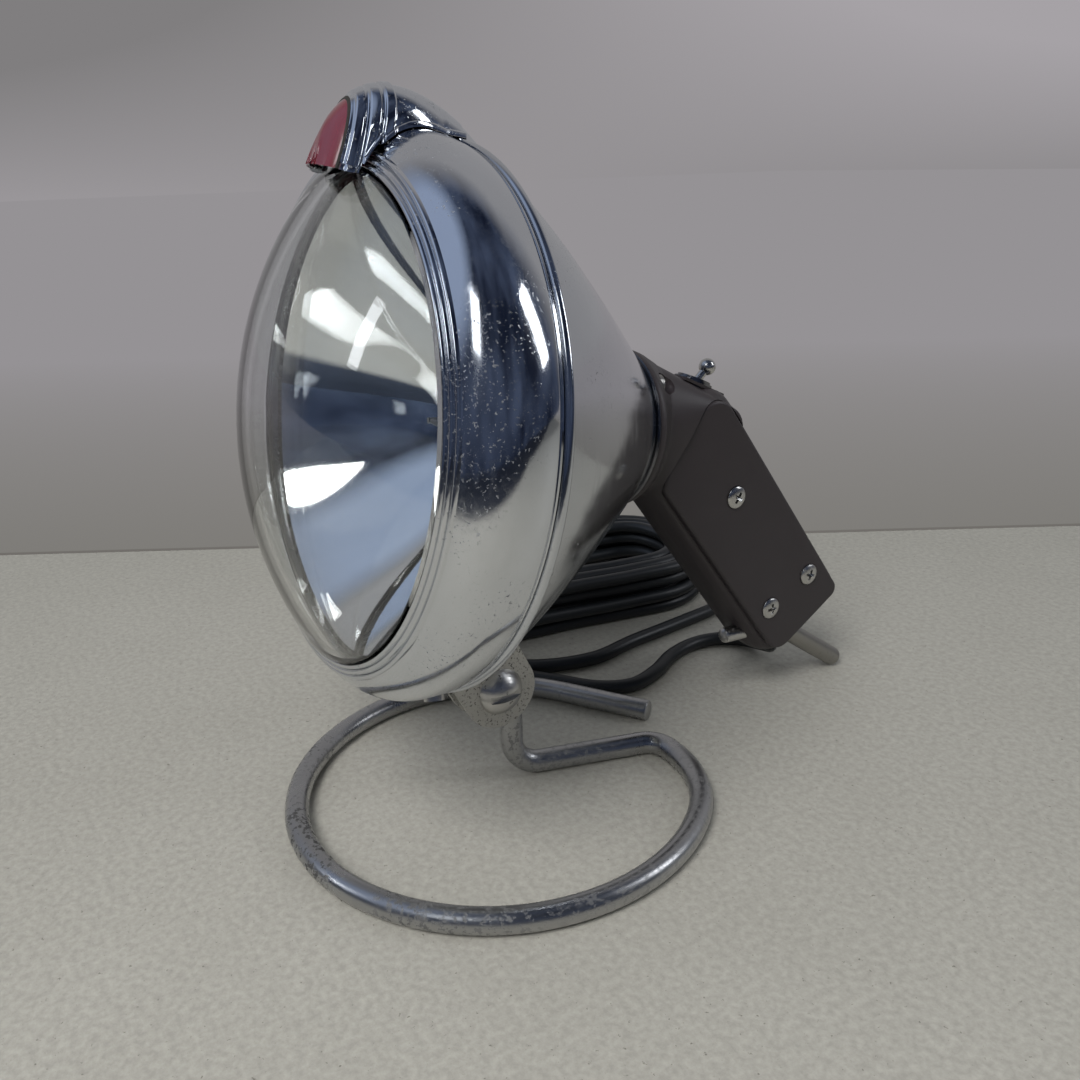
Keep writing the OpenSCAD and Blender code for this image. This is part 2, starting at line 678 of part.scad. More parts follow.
module filament() {
    color(brass) head() across([focus_s, 0], 0.9, -post_gap + 0.9, post_gap - 0.9);
}
module filament_posts() {
    color(steel) head() for (k = [-1, 1])
        translate([k * post_gap, focus_s - 1, 0]) rotate([-90, 0, 0])
            cylinder(r = 0.9, h = vertex_s - pow(post_gap, 2) / (4 * focal) - focus_s + 0.8);
}
module lamp_terminals() {
    color(brass) head() for (k = [-1, 1])
        translate([k * terminal_gap, boss_s, 0]) rotate([-90, 0, 0]) {
            cylinder(r = 1.6, h = terminal_t);
            translate([0, 0, 1]) cylinder(r = terminal_r, h = terminal_t - 1);
        }
}
module terminal_lugs() {
    color(brass) head() for (k = [-1, 1])
        translate([k * terminal_gap, boss_s, 0]) rotate([-90, 0, 0]) difference() {
            union() {
                cylinder(r = terminal_r + 1, h = 1);
                translate([-1.5, -9, 0]) cube([3, 9, 1]);
                translate([-1.5, -9, 0]) cube([3, 1, 8]);
            }
            translate([0, 0, -1]) cylinder(r = 1.6, h = 4);
        }
}
module retaining_ring() {
    r = crown_base + (crown_rise - sheet) * sqrt(1 - pow((crown_s - ring_s) / (crown_len - sheet), 2));
    color(steel) head() lathe([[rim_r - 1, ring_s], [r - 2 * skim, ring_s],
        [r - 2 * skim, ring_s + ring_t], [rim_r - 1, ring_s + ring_t]]);
}

// Marker lamp: arches that stand on the bezel, leaning back with its lens
function seat_at(s) =
    s < 0.5 ? marker_foot
    : s < 6 ? bezel_at(max(s + bead_r, 2.3)) + bead_r + seat_gap
    : s < bezel_depth - 2.7 ? bezel_at(s) + seat_gap
    : s < bezel_depth + 4 ? seam_r + roll_r + 0.1
    : bowl_at(s) + seat_gap;
function seat_under(s, lean) =
    let (under = s + lean * (seat_at(s) - marker_foot))
    seat_at(s + lean * (seat_at(under) - marker_foot));
function marker_top(s) =
    s < marker_peak
        ? marker_foot + marker_rise
            * sqrt(max(0, 1 - pow((marker_peak - s) / (marker_peak - marker_front + 0.1), 2)))
        : marker_foot + marker_rise
            - marker_drop * pow((s - marker_peak) / (marker_tail + 1 - marker_peak), 1.8);
function marker_half(s) =
    s < 9
        ? marker_half_w * pow(max(0.02, 1 - pow((9 - s) / (9.4 - marker_front), 3)), 1 / 3)
        : marker_half_w - (marker_half_w - 1) * pow((s - 9) / (marker_tail + 1 - 9), 1.6);
function rib(s) = len([for (k = [2, 5.5, 9]) if (s >= k && s <= k + 2) k]) * rib_h;
// One arch, from its right foot over the top: [x, over the seat] for a height and a half width
function arch(half, rise, a0, n) =
    [for (a = steps(a0, 180 - a0, n)) [half * cos(a), rise * sin(a)]];
function marker_ring(s, wall, grow, flange) =
    let (top = marker_top(s) + grow,
         lean = marker_lean * max(0, 1 - max(0, s) / 25),
         base = s - lean * (top - marker_foot),
         seat = seat_under(base, lean),
         half = max(0.8, marker_half(base) + grow),
         foot = sqrt(pow(seat, 2) - pow(half, 2)),
         rise = max(top - foot, 0.8),
         in_half = max(half - wall, 0.3),
         in_foot = sqrt(pow(seat, 2) - pow(in_half, 2)),
         in_rise = max(top - wall - in_foot, 0.3),
         lip = flange > 0 ? min(flange_h, 0.6 * rise) : 0,
         wide = half + flange,
         edge = sqrt(pow(seat, 2) - pow(wide, 2)),
         foot_r = flange > 0 ? [[wide, edge], [wide, foot + lip]] : [],
         foot_l = flange > 0 ? [[-wide, foot + lip], [-wide, edge]] : [],
         body = [for (q = arch(half, rise, asin(lip / rise), arch_n)) [q[0], foot + q[1]]],
         hollow = [for (q = arch(in_half, in_rise, 0, arch_n + len(foot_r) * 2))
             [q[0], in_foot + q[1]]],
         chain = concat(foot_r, body, foot_l, [for (i = [len(hollow) - 1:-1:0]) hollow[i]]))
    [for (q = chain) [q[0], base + lean * (q[1] - marker_foot), q[1]]];
module marker_shell(stations, wall, grow, flange) {
    rings = [for (s = stations) marker_ring(s, wall, grow + rib(s) * (flange > 0 ? 1 : 0), flange)];
    n = len(rings);
    m = len(rings[0]);
    h = m / 2;
    far = (n - 1) * m;
    skin = [for (j = [0:n - 2]) for (i = [0:m - 1])
        let (a = j * m + i, b = j * m + (i + 1) % m)
        each [[a, b, a + m], [b, b + m, a + m]]];
    caps = [for (i = [0:h - 2])
        let (o = m - 1 - i)
        each [[i + 1, i, o], [o - 1, i + 1, o],
            [far + i, far + i + 1, far + o], [far + i + 1, far + o - 1, far + o]]];
    polyhedron([for (r = rings) each r], concat(skin, caps), 4);
}
module marker_screw_places() {
    for (k = [-1, 1])
        translate([k * marker_screw_x, marker_screw_s, bezel_r - sheet - 0.6]) children();
}
arch_n = 16;
lens_stations = [-7.2, -6.6, -5.6, -4.2, -2.4, marker_split];
house_stations = [
    marker_split + 0.6, 1.9, 2, 4, 4.1, 5.4, 5.5, 7.5, 7.6, 8.9, 9, 11, 11.1, 14, 18, 22, 26,
    bezel_depth + 3.9, 34, 38, 41, marker_tail
];
module marker_housing() {
    color(chrome) head() difference() {
        union() {
            marker_shell(house_stations, marker_wall, 0, marker_flange);
            marker_screw_places() translate([0, 0, 2]) cylinder(r = marker_boss_r, h = 4.6);
        }
        marker_screw_places() cylinder(r = 1.5, h = 5.5);
    }
}
module marker_lens() {
    color(red) head() marker_shell(lens_stations, 2.2, -0.3, 0);
}
module marker_gasket() {
    color(black) head() marker_shell([marker_split + 0.15, marker_split + 0.55], 2, 0, 0);
}
module marker_bulb() {
    color([0.95, 0.9, 0.8]) head() translate([0, socket_s, bezel_r + 1]) {
        translate([0, 0, bulb_r + 0.6]) sphere(r = bulb_r, $fn = 48);
        translate([0, 0, -1]) cylinder(r = 2, h = 2.6);
    }
}
module marker_socket() {
    color(brass) head() translate([0, socket_s, bezel_r - 2.7]) difference() {
        union() {
            cylinder(r = socket_r, h = 4.3);
            translate([0, 0, 2.6]) cylinder(r = socket_r + 0.8, h = 0.8);
        }
        translate([0, 0, 2.7]) cylinder(r = 2 + hole_fit, h = 4);
    }
}
module marker_screws() {
    color(steel) head() marker_screw_places() {
        translate([0, 0, -2]) cylinder(r = 1.5, h = 7);
        translate([0, 0, -2.8]) cylinder(r = 2.5, h = 1.4);
    }
}

// Grip
module neck_screw_places() {
    for (k = [-1, 1])
        translate([k * neck_screw_at[0], shell_depth, neck_screw_at[1]])
            rotate([-90, 0, 0]) children();
}
module neck_waist() {
    translate([0, waist_s, 0]) rotate([-90, 0, 0]) scale([waist_half / waist_r, 1, 1])
        cylinder(r = waist_r, h = 1, $fn = 48);
}
module grip_solid() {
    hull() {
        translate([0, flange_s, 0]) rotate([-90, 0, 0]) cylinder(r = flange_r, h = 3, $fn = 48);
        neck_waist();
    }
    hull() {
        neck_waist();
        across(shoulder_at_s, shoulder_round, far_x + 5, cover_x, $fn = 32);
        across(shoulder_at_s, shoulder_round - 3, far_x + 1, cover_x + cover_t - 0.4, $fn = 32);
        across(throat_at_s, throat_round, far_x + 1, cover_x + cover_t - 0.4, $fn = 32);
    }
    handle() hull() {
        slab(far_x, cover_x) polygon(outline(grown(cover, edge - 0.6)));
        slab(far_x + 4, cover_x - 2) polygon(outline(grown(cover, edge + crown)));
    }
}
module grip_body() {
    color(black) head() difference() {
        grip_solid();
        handle() difference() {
            slab(far_x + grip_wall, cover_x + 1) polygon(outline(cavity));
            for (p = cover_points) across(p, cover_boss_r, far_x, cover_x);
        }
        handle() slab(cover_x, cover_x + flange_r) polygon(outline(grown(cover, skim)));
        for (p = cover_points) handle() across(p, cover_screw_r, far_x + 6, cover_x + 1);
        translate([0, flange_s - 1, 0]) rotate([-90, 0, 0])
            cylinder(r = wire_hole_r + hole_fit, h = 30);
        neck_screw_places() cylinder(r = neck_screw_r + hole_fit, h = 20);
        neck_screw_places() translate([0, 0, 7]) cylinder(r = neck_bore_r, h = waist_s - flange_s);
        switch_frame() {
            translate([-switch_w / 2 - 0.2, -switch_l / 2 - 0.2, 0]) cube([switch_w + 0.4, switch_l + 0.4, 8]);
            translate([-switch_w / 2, -switch_l / 2, -switch_wall - 22]) cube([switch_w, switch_l, 22]);
            translate([0, 0, -10]) cylinder(r = bushing_r + hole_fit, h = 14);
        }
        handle() {
            rod_between(peg_from, peg_to, peg_r);
            rod_between(prong_from, prong_to, rod_r);
            relief_shape(hole_fit);
        }
    }
}
module neck_trim() {
    color(chrome) head() difference() {
        translate([0, shell_depth, 0]) rotate([-90, 0, 0]) cylinder(r = flange_r + 0.6, h = trim_t);
        translate([0, shell_depth - 1, 0]) rotate([-90, 0, 0]) cylinder(r = wire_hole_r + hole_fit, h = 5);
        neck_screw_places() translate([0, 0, -1]) cylinder(r = neck_screw_r + hole_fit, h = 5);
    }
}
module neck_nipple() {
    color(brass) head() translate([0, shell_depth - 5, 0]) rotate([-90, 0, 0]) difference() {
        cylinder(r = wire_hole_r, h = 17);
        translate([0, 0, -1]) cylinder(r = wire_hole_r - 2.2, h = 20);
    }
}
module neck_nut() {
    color(brass) head() translate([0, shell_depth - sheet - 3.2, 0]) rotate([-90, 0, 0]) difference() {
        cylinder(r = 13.5, h = 3.2, $fn = 6);
        translate([0, 0, -1]) cylinder(r = wire_hole_r, h = 6);
    }
}
module neck_screws() {
    color(steel) head() neck_screw_places() {
        translate([0, 0, -3.5]) cylinder(r = neck_screw_r, h = 11);
        difference() {
            translate([0, 0, 7]) cylinder(r = neck_bore_r - 0.5, h = 2.2);
            translate([-0.5, -5, 8.2]) cube([1, 10, 3]);
        }
    }
}
module cover_plate() {
    color(black) head() handle() difference() {
        union() {
            slab(cover_x, cover_x + cover_t - 0.8) polygon(outline(cover));
            hull() {
                slab(cover_x + cover_t - 1, cover_x + cover_t - 0.8) polygon(outline(cover));
                slab(cover_x + cover_t - 0.2, cover_x + cover_t) polygon(outline(grown(cover, -0.8)));
            }
        }
        for (p = cover_points) {
            across(p, cover_screw_r + hole_fit, cover_x - 1, cover_x + cover_t + 1);
            translate([cover_x + 0.8, p[0], p[1]]) rotate([0, 90, 0])
                cylinder(r1 = cover_screw_r, r2 = cover_head_d / 2, h = cover_t - 0.8);
        }
    }
}
module cover_screws() {
    cap = 4 * cover_head_d / 3;
    color(chrome) head() handle() for (p = cover_points) difference() {
        union() {
            across(p, cover_screw_r, far_x + 7, cover_x + 1);
            translate([cover_x + 0.8, p[0], p[1]]) rotate([0, 90, 0])
                cylinder(r1 = cover_screw_r, r2 = cover_head_d / 2, h = cover_t - 0.8);
            intersection() {
                translate([cover_x + cover_t + 0.9 - cap, p[0], p[1]]) sphere(r = cap);
                across(p, cover_head_d / 2 - 0.02, cover_x + cover_t, cover_x + cover_t + 3);
            }
        }
        translate([cover_x + cover_t - 1.3, p[0], p[1]]) for (a = [20, 110])
            rotate([a, 0, 0]) translate([0, -2.4, -0.55]) cube([4, 4.8, 1.1]);
    }
}

// Switch
module switch_body() {
    color([0.25, 0.22, 0.2]) head() switch_frame() difference() {
        translate([-switch_box[0] / 2, -switch_box[1] / 2, -switch_wall - switch_box[2]]) cube(switch_box);
        translate([0, 0, -switch_wall - 5]) cylinder(r = bushing_bore, h = 6);
    }
}
module switch_bushing() {
    color(chrome) head() switch_frame() difference() {
        union() {
            translate([0, 0, -switch_wall]) cylinder(r = bushing_r, h = switch_wall + bushing_top);
            translate([0, 0, switch_plate_t]) cylinder(r = bushing_r + 0.9, h = 0.8);
        }
        translate([0, 0, -switch_wall - 1]) cylinder(r = bushing_bore, h = 10);
    }
}
module switch_plate() {
    color(black) head() switch_frame() difference() {
        translate([-switch_w / 2, -switch_l / 2, 0]) cube([switch_w, switch_l, switch_plate_t]);
        translate([0, 0, -1]) cylinder(r = bushing_r + hole_fit, h = 4);
    }
}
module switch_lever() {
    color(chrome) head() switch_frame() translate([0, 0, -toggle_depth]) rotate([-toggle_lean, 0, 0]) {
        sphere(r = bushing_bore - hole_fit, $fn = 48);
        cylinder(r = toggle_stem_r, h = toggle_len);
        translate([0, 0, toggle_len]) sphere(d = toggle_ball_d, $fn = 48);
    }
}
module lamp_wires() {
    color(red) head() for (k = [-1, 1])
        tube([
            [k * terminal_gap, boss_s + 6, 6.6], [k * terminal_gap, boss_s + 13, 6.6],
            [k * 6, boss_s + 21, 4], [k * 3, shell_depth - 7, 0], [k * 3, shell_depth + 8, 0],
            [k * 3, shell_depth + 20, -2], [k * 3, switch_at[0] - 4, -7]
        ], 2.6, 8);
}

// Tail rod and strain relief, in the handle's plan
module rod_between(a, b, r) {
    d = b - a;
    n = norm(d);
    translate([tail_x, a[0], a[1]]) rotate([atan2(d[1], d[0]), 0, 0]) rotate([-90, 0, 0])
        rotate_extrude() polygon(concat([[0, 0], [r, 0]],
            [for (t = steps(0, 90, 8)) [max(r * cos(t), 0), n + 0.6 * r * sin(t)]]));
}
module tail_rod() {
    color(steel) head() handle() rod_between(prong_from, prong_to, rod_r);
}
module front_peg() {
    color(steel) head() handle() rod_between(peg_from, peg_to, peg_r);
}
module relief_shape(fit) {
    translate([exit_x, exit_at[0] - relief_in, exit_at[1]]) rotate([-90, 0, 0]) {
        cylinder(r = relief_r + fit, h = relief_in);
        translate([0, 0, relief_in]) cylinder(r1 = relief_r + fit, r2 = cord_r + 0.8, h = relief_out);
    }
}
module strain_relief() {
    color(rubber) head() handle() relief_shape(0);
}

// Cord and plug
module cord_lead() {
    color(rubber) tube(lead_path, cord_d, 8, [1, 1, 0]);
}
module cord_hank() {
    color(rubber) tube(hank_path, cord_d, 6, [0, 1, 0]);
}
module cord_tail() {
    color(rubber) tube(tail_path, cord_d, 8, [0, 1, 0]);
}
module plug_relief() {
    color(rubber) plug_frame()
        cylinder(r1 = cord_r + 0.8, r2 = cord_r + 2, h = plug_relief_len);
}
module contact_places() {
    for (k = [52, 232]) rotate([0, 0, k])
        translate([barrel_r - contact_t - 0.45, -2.5, plug_relief_len + plug_len - 14]) children();
}
module plug_body() {
    nose = plug_relief_len + plug_len;
    grip = plug_len - barrel_len - 8;
    color(black) plug_frame() difference() {
        union() {
            translate([0, 0, plug_relief_len]) cylinder(r1 = plug_r - 4, r2 = plug_r, h = 8);
            translate([0, 0, plug_relief_len + 8]) cylinder(r = plug_r, h = grip);
            translate([0, 0, nose - barrel_len]) cylinder(r = barrel_r, h = barrel_len);
            translate([0, 0, nose]) cylinder(r1 = barrel_r, r2 = plug_tip_r + 3.6, h = plug_nose_len);
        }
        translate([0, 0, nose - 8]) cylinder(r = plug_tip_r + 1.2, h = 10);
        translate([0, 0, nose]) cylinder(r = plug_tip_r + hole_fit, h = plug_nose_len + 2);
        contact_places() cube([contact_t + 1, 5, 12]);
    }
}
module plug_contacts() {
    color(steel) plug_frame() contact_places() cube([contact_t, 5, 12]);
}
module plug_spring() {
    nose = plug_relief_len + plug_len;
    color(steel) plug_frame() translate([0, 0, nose - 8]) difference() {
        cylinder(r = plug_tip_r + 1, h = 5);
        translate([0, 0, -1]) cylinder(r = plug_tip_r - 0.6, h = 8);
    }
}
module plug_tip() {
    nose = plug_relief_len + plug_len;
    color(brass) plug_frame() {
        translate([0, 0, nose + plug_travel - 2]) cylinder(r = plug_tip_r, h = plug_nose_len + 3);
        translate([0, 0, nose + plug_travel + plug_nose_len + 1]) sphere(r = plug_tip_r);
        translate([0, 0, nose - 0.4]) cylinder(r = plug_tip_r + 1.1, h = 1.4);
    }
}

stand_rod();
bracket();
bracket_rivets();
clamp_screw();
clamp_nut();
lock_washer();
front_bezel();
bezel_screw();
lamp_gasket();
lens_glass();
reflector();
filament();
filament_posts();
lamp_terminals();
terminal_lugs();
retaining_ring();
rear_bowl();
marker_housing();
marker_lens();
marker_gasket();
marker_bulb();
marker_socket();
marker_screws();
grip_body();
neck_trim();
neck_nipple();
neck_nut();
neck_screws();
cover_plate();
cover_screws();
switch_body();
switch_bushing();
switch_plate();
switch_lever();
lamp_wires();
tail_rod();
front_peg();
strain_relief();
cord_lead();
cord_hank();
cord_tail();
plug_relief();
plug_body();
plug_contacts();
plug_spring();
plug_tip();
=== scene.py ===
import bpy, bmesh
from math import sin, cos, tan, pi, radians, degrees, sqrt, asin, acos, atan2
from mathutils import Matrix, Vector, noise


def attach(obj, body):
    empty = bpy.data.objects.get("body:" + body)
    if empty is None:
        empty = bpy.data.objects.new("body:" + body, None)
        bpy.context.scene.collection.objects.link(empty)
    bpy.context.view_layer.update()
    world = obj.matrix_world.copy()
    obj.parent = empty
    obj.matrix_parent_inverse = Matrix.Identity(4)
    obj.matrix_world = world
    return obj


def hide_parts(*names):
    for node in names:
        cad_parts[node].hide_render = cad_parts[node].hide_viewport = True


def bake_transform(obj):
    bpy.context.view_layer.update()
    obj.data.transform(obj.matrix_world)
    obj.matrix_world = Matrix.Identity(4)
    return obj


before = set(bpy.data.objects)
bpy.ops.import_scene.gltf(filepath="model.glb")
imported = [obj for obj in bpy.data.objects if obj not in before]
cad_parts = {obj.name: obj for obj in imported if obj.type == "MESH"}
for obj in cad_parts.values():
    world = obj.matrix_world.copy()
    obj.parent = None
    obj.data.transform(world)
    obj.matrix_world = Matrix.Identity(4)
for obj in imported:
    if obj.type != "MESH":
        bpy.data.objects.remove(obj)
bpy.context.scene.view_settings.view_transform = "Standard"
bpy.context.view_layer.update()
MM = 0.001
PIVOT = Vector((0, -45.8264, 39.25))
PIVOT_S, PIVOT_H = 65.6532, -89.7557
TILT = radians(9.8)
HEAD = (Matrix.Translation(PIVOT) @ Matrix.Rotation(-TILT, 4, "X")
        @ Matrix.Translation((0, -PIVOT_S, -PIVOT_H)))
GRIP_AT, GRIP_SLOPE = (0, 130, 10), radians(43.9)
GRIP = HEAD @ Matrix.Translation(GRIP_AT) @ Matrix.Rotation(-GRIP_SLOPE, 4, "X")
SWITCH_AT, SWITCH_SLOPE = (0, 134, 15.36), radians(15.6)
SWITCH = HEAD @ Matrix.Translation(SWITCH_AT) @ Matrix.Rotation(-SWITCH_SLOPE, 4, "X")
RING_Y = -46.7764

# Camera at the photograph's angle
cam_data = bpy.data.cameras.new("camera")
cam_data.sensor_width = 36
cam_data.lens = 33.489
cam_data.clip_start = 0.01
camera = bpy.data.objects.new("camera", cam_data)
bpy.context.scene.collection.objects.link(camera)
yaw, pitch, roll = radians(58.701), radians(20.779), radians(-1.566)
look = Vector((-sin(yaw) * cos(pitch), cos(yaw) * cos(pitch), -sin(pitch)))
right = look.cross(Vector((0, 0, 1))).normalized()
up = right.cross(look)
right, up = cos(roll) * right + sin(roll) * up, -sin(roll) * right + cos(roll) * up
turn = Matrix((right, up, -look)).transposed().to_4x4()
camera.matrix_world = Matrix.Translation(
    Vector((264.26 + 5.5, -141.86 + RING_Y, 206.96)) * MM) @ turn
bpy.context.scene.camera = camera


# Materials
def lin(*c):
    return tuple((v / 255 / 12.92) if v / 255 <= 0.04045 else ((v / 255 + 0.055) / 1.055) ** 2.4
                 for v in c) + (1,)


class Mat:
    """A Principled material with a few helpers for procedural detail."""

    def __init__(self, name, color, rough=0.4, metal=0.0, **sockets):
        self.m = bpy.data.materials.new(name)
        self.m.use_nodes = True
        self.t = self.m.node_tree
        self.b = self.t.nodes["Principled BSDF"]
        self.b.inputs["Base Color"].default_value = color
        self.b.inputs["Roughness"].default_value = rough
        self.b.inputs["Metallic"].default_value = metal
        for k, v in sockets.items():
            self.b.inputs[k.replace("_", " ")].default_value = v
        self.co = self.t.nodes.new("ShaderNodeTexCoord").outputs["Object"]

    def node(self, kind, **inputs):
        n = self.t.nodes.new("ShaderNode" + kind)
        for k, v in inputs.items():
            i = n.inputs[k.replace("_", " ")]
            if isinstance(v, bpy.types.NodeSocket):
                self.t.links.new(v, i)
            else:
                i.default_value = v
        return n

    def noise(self, scale, detail=3, rough=0.55, stretch=None):
        co = self.co
        if stretch:
            co = self.node("Mapping", Vector=co, Scale=stretch).outputs[0]
        return self.node("TexNoise", Vector=co, Scale=scale, Detail=detail,
                         Roughness=rough).outputs["Fac"]

    def ramp(self, fac, *stops):
        n = self.node("ValToRGB", Fac=fac)
        while len(n.color_ramp.elements) < len(stops):
            n.color_ramp.elements.new(0.5)
        for e, (p, c) in zip(n.color_ramp.elements, stops):
            e.position = p
            e.color = c if isinstance(c, tuple) else (c, c, c, 1)
        return n.outputs["Color"]

    def mix(self, fac, a, b):
        n = self.t.nodes.new("ShaderNodeMix")
        n.data_type = "RGBA"
        for i, v in ((0, fac), (6, a), (7, b)):
            if isinstance(v, bpy.types.NodeSocket):
                self.t.links.new(v, n.inputs[i])
            else:
                n.inputs[i].default_value = v
        return n.outputs[2]

    def math(self, op, a, b=0.0):
        n = self.t.nodes.new("ShaderNodeMath")
        n.operation = op
        for i, v in enumerate((a, b)):
            if isinstance(v, bpy.types.NodeSocket):
                self.t.links.new(v, n.inputs[i])
            else:
                n.inputs[i].default_value = v
        return n.outputs[0]

    def place(self, x, y, near, far, least):
        """Rises from least to 1 from near to far along a direction on the object."""
        n = self.t.nodes.new("ShaderNodeVectorMath")
        n.operation = "DOT_PRODUCT"
        n.inputs[1].default_value = (x, y, 0)
        self.t.links.new(self.co, n.inputs[0])
        span = self.node("MapRange", Value=n.outputs["Value"])
        for i, v in ((1, near), (2, far), (3, least), (4, 1.0)):
            span.inputs[i].default_value = v
        return span.outputs[0]

    def set(self, name, socket):
        self.t.links.new(socket, self.b.inputs[name])
        return self

    def bump(self, height, strength=0.3, distance=0.0003, normal=None):
        n = self.node("Bump", Height=height, Strength=strength, Distance=distance)
        if normal is not None:
            self.t.links.new(normal, n.inputs["Normal"])
        self.set("Normal", n.outputs[0])
        return n.outputs[0]


def metal(name, color, dark, rough, pits=0.0, pit_scale=260, haze=0.08, fine=0.0, clear=0.47,
          freckles=0.0, toward=None):
    """Plated steel: hazy patches, small dark pits in clusters and cloudy freckles."""
    m = Mat(name, color, rough, 1.0)
    cloud = m.noise(28, 4)
    patch = m.ramp(cloud, (0.35, 0.0), (0.7, 1.0))
    base = m.mix(m.math("MULTIPLY", patch, 0.5), color, tuple(v * 0.86 for v in color[:3]) + (1,))
    r = m.math("ADD", m.math("MULTIPLY", patch, haze), rough)
    scratch = m.noise(420, 2, 0.6, (1, 1, 0.06))
    r = m.math("ADD", r, m.math("MULTIPLY", m.ramp(scratch, (0.55, 0.0), (0.75, 1.0)), haze * 0.8))
    height = m.math("MULTIPLY", m.noise(900, 2), 0.15 + fine)
    if pits:
        spots = m.ramp(m.noise(pit_scale, 4, 0.7), (0.66 - 0.1 * pits, 0.0), (0.70 - 0.1 * pits, 1.0))
        where = m.ramp(m.noise(30, 3), (clear, 0.0), (clear + 0.15, 1.0))
        pit = m.math("MULTIPLY", spots, where)
        if toward:
            pit = m.math("MULTIPLY", pit, m.place(*toward))
        base = m.mix(m.math("MULTIPLY", pit, 0.85), base, dark)
        r = m.math("ADD", r, m.math("MULTIPLY", pit, 0.35))
        height = m.math("SUBTRACT", height, m.math("MULTIPLY", pit, 0.8))
        m.set("Metallic", m.math("SUBTRACT", 1.0, m.math("MULTIPLY", pit, 0.6)))
    if freckles:
        cloudy = m.math("MULTIPLY", m.ramp(m.noise(420, 4, 0.7), (0.47, 0.0), (0.60, 1.0)),
                        m.ramp(m.noise(34, 3), (0.42, 0.0), (0.60, 1.0)))
        r = m.math("ADD", r, m.math("MULTIPLY", cloudy, freckles))
    m.set("Base Color", base).set("Roughness", r)
    m.bump(height, 0.25, 0.00012)
    return m.m


def moulded(name, color, rough=0.45, dust=0.25, grain=700, **sockets):
    m = Mat(name, color, rough, 0.0, **sockets)
    n1 = m.noise(grain, 3, 0.6)
    n2 = m.noise(22, 4, 0.6)
    pale = tuple(min(1, v * 1.9 + 0.012) for v in color[:3]) + (1,)
    c = m.mix(m.math("MULTIPLY", m.ramp(n2, (0.45, 0.0), (0.75, 1.0)), dust), color, pale)
    specks = m.ramp(m.noise(1500, 2, 0.7), (0.68, 0.0), (0.72, 1.0))
    c = m.mix(m.math("MULTIPLY", specks, dust), c, lin(92, 86, 84))
    m.set("Base Color", c)
    m.set("Roughness", m.math("ADD", m.math("MULTIPLY", n2, 0.22), rough - 0.1))
    m.bump(n1, 0.35, 0.00008)
    return m.m


def glassy(name, color, rough=0.0, ior=1.5, smudge=0.05):
    m = Mat(name, color, rough, 0.0, Transmission_Weight=1.0, IOR=ior)
    m.set("Roughness", m.math("MULTIPLY", m.ramp(m.noise(60, 4), (0.5, 0.0), (0.8, 1.0)), smudge))
    m.bump(m.noise(9, 1), 0.02, 0.001)
    return m.m


CHROME = metal("chrome_shell", (0.72, 0.74, 0.77, 1), lin(40, 44, 54), 0.045, pits=0.5, pit_scale=1050,
               haze=0.09, clear=0.50, freckles=0.09)
BOWL = metal("chrome_bowl", (0.62, 0.64, 0.67, 1), lin(44, 44, 48), 0.10, pits=0.4, pit_scale=1000,
             haze=0.10)
ROD = metal("chrome_rod", (0.46, 0.46, 0.46, 1), lin(24, 21, 19), 0.24, pits=1.35, pit_scale=480,
            haze=0.16, fine=0.3, clear=0.42, toward=(-0.52, -0.854, 0.02, 0.08, 0.3))
STRAP = metal("bracket_steel", (0.56, 0.55, 0.52, 1), lin(70, 64, 58), 0.40, pits=0.9,
              pit_scale=1100, haze=0.15, fine=0.5, clear=0.4)
BRIGHT = metal("bright_steel", (0.58, 0.57, 0.55, 1), lin(40, 36, 32), 0.22, pits=0.6, haze=0.14)
TRIM = metal("trim_steel", (0.20, 0.20, 0.21, 1), lin(90, 90, 92), 0.16, pits=0.9, pit_scale=900)
TAIL = metal("tail_steel", (0.33, 0.32, 0.30, 1), lin(18, 16, 14), 0.30, pits=0.8, haze=0.12)
MIRROR = metal("silvered", (0.90, 0.91, 0.92, 1), lin(60, 60, 60), 0.03, haze=0.02)
BRASS = metal("brass_parts", (0.62, 0.45, 0.20, 1), lin(50, 36, 18), 0.3, pits=0.4)
TUNGSTEN = metal("tungsten", (0.30, 0.30, 0.31, 1), lin(20, 20, 20), 0.4)
BLACK = moulded("black_moulding", lin(44, 39, 41), 0.46, 0.22)
CORD = moulded("cord_rubber", lin(24, 27, 30), 0.42, 0.10, grain=500)
GASKET = moulded("gasket_rubber", lin(40, 38, 35), 0.6, 0.3)
BROWN = moulded("switch_moulding", lin(62, 42, 30), 0.5, 0.2)
WIRE = moulded("red_wire", lin(120, 22, 18), 0.45, 0.1)
LENS = glassy("clear_lens", (0.96, 0.98, 0.98, 1), 0.0, 1.47, 0.02)
RED = moulded("red_lens", lin(104, 40, 50), 0.16, 0.12, 300, Coat_Weight=0.7, Transmission_Weight=0.25)
BULB = glassy("bulb_glass", (0.95, 0.93, 0.88, 1), 0.05, 1.45, 0.1)


# Meshes
def put(name, bm, body, mat, M=Matrix.Identity(4), cad=(), sharp=32, ride=True):
    """A mesh made in millimetres in its own frame becomes a piece in the row frame."""
    bmesh.ops.remove_doubles(bm, verts=bm.verts, dist=1e-4)
    bmesh.ops.recalc_face_normals(bm, faces=bm.faces)
    me = bpy.data.meshes.new(name)
    bm.to_mesh(me)
    bm.free()
    me.transform(Matrix.Scale(MM, 4) @ M)
    for p in me.polygons:
        p.use_smooth = True
    me.set_sharp_from_angle(angle=radians(sharp))
    me.materials.append(mat)
    ob = bpy.data.objects.new(name, me)
    bpy.context.scene.collection.objects.link(ob)
    if ride:
        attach(ob, body)
    if cad:
        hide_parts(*cad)
    return ob


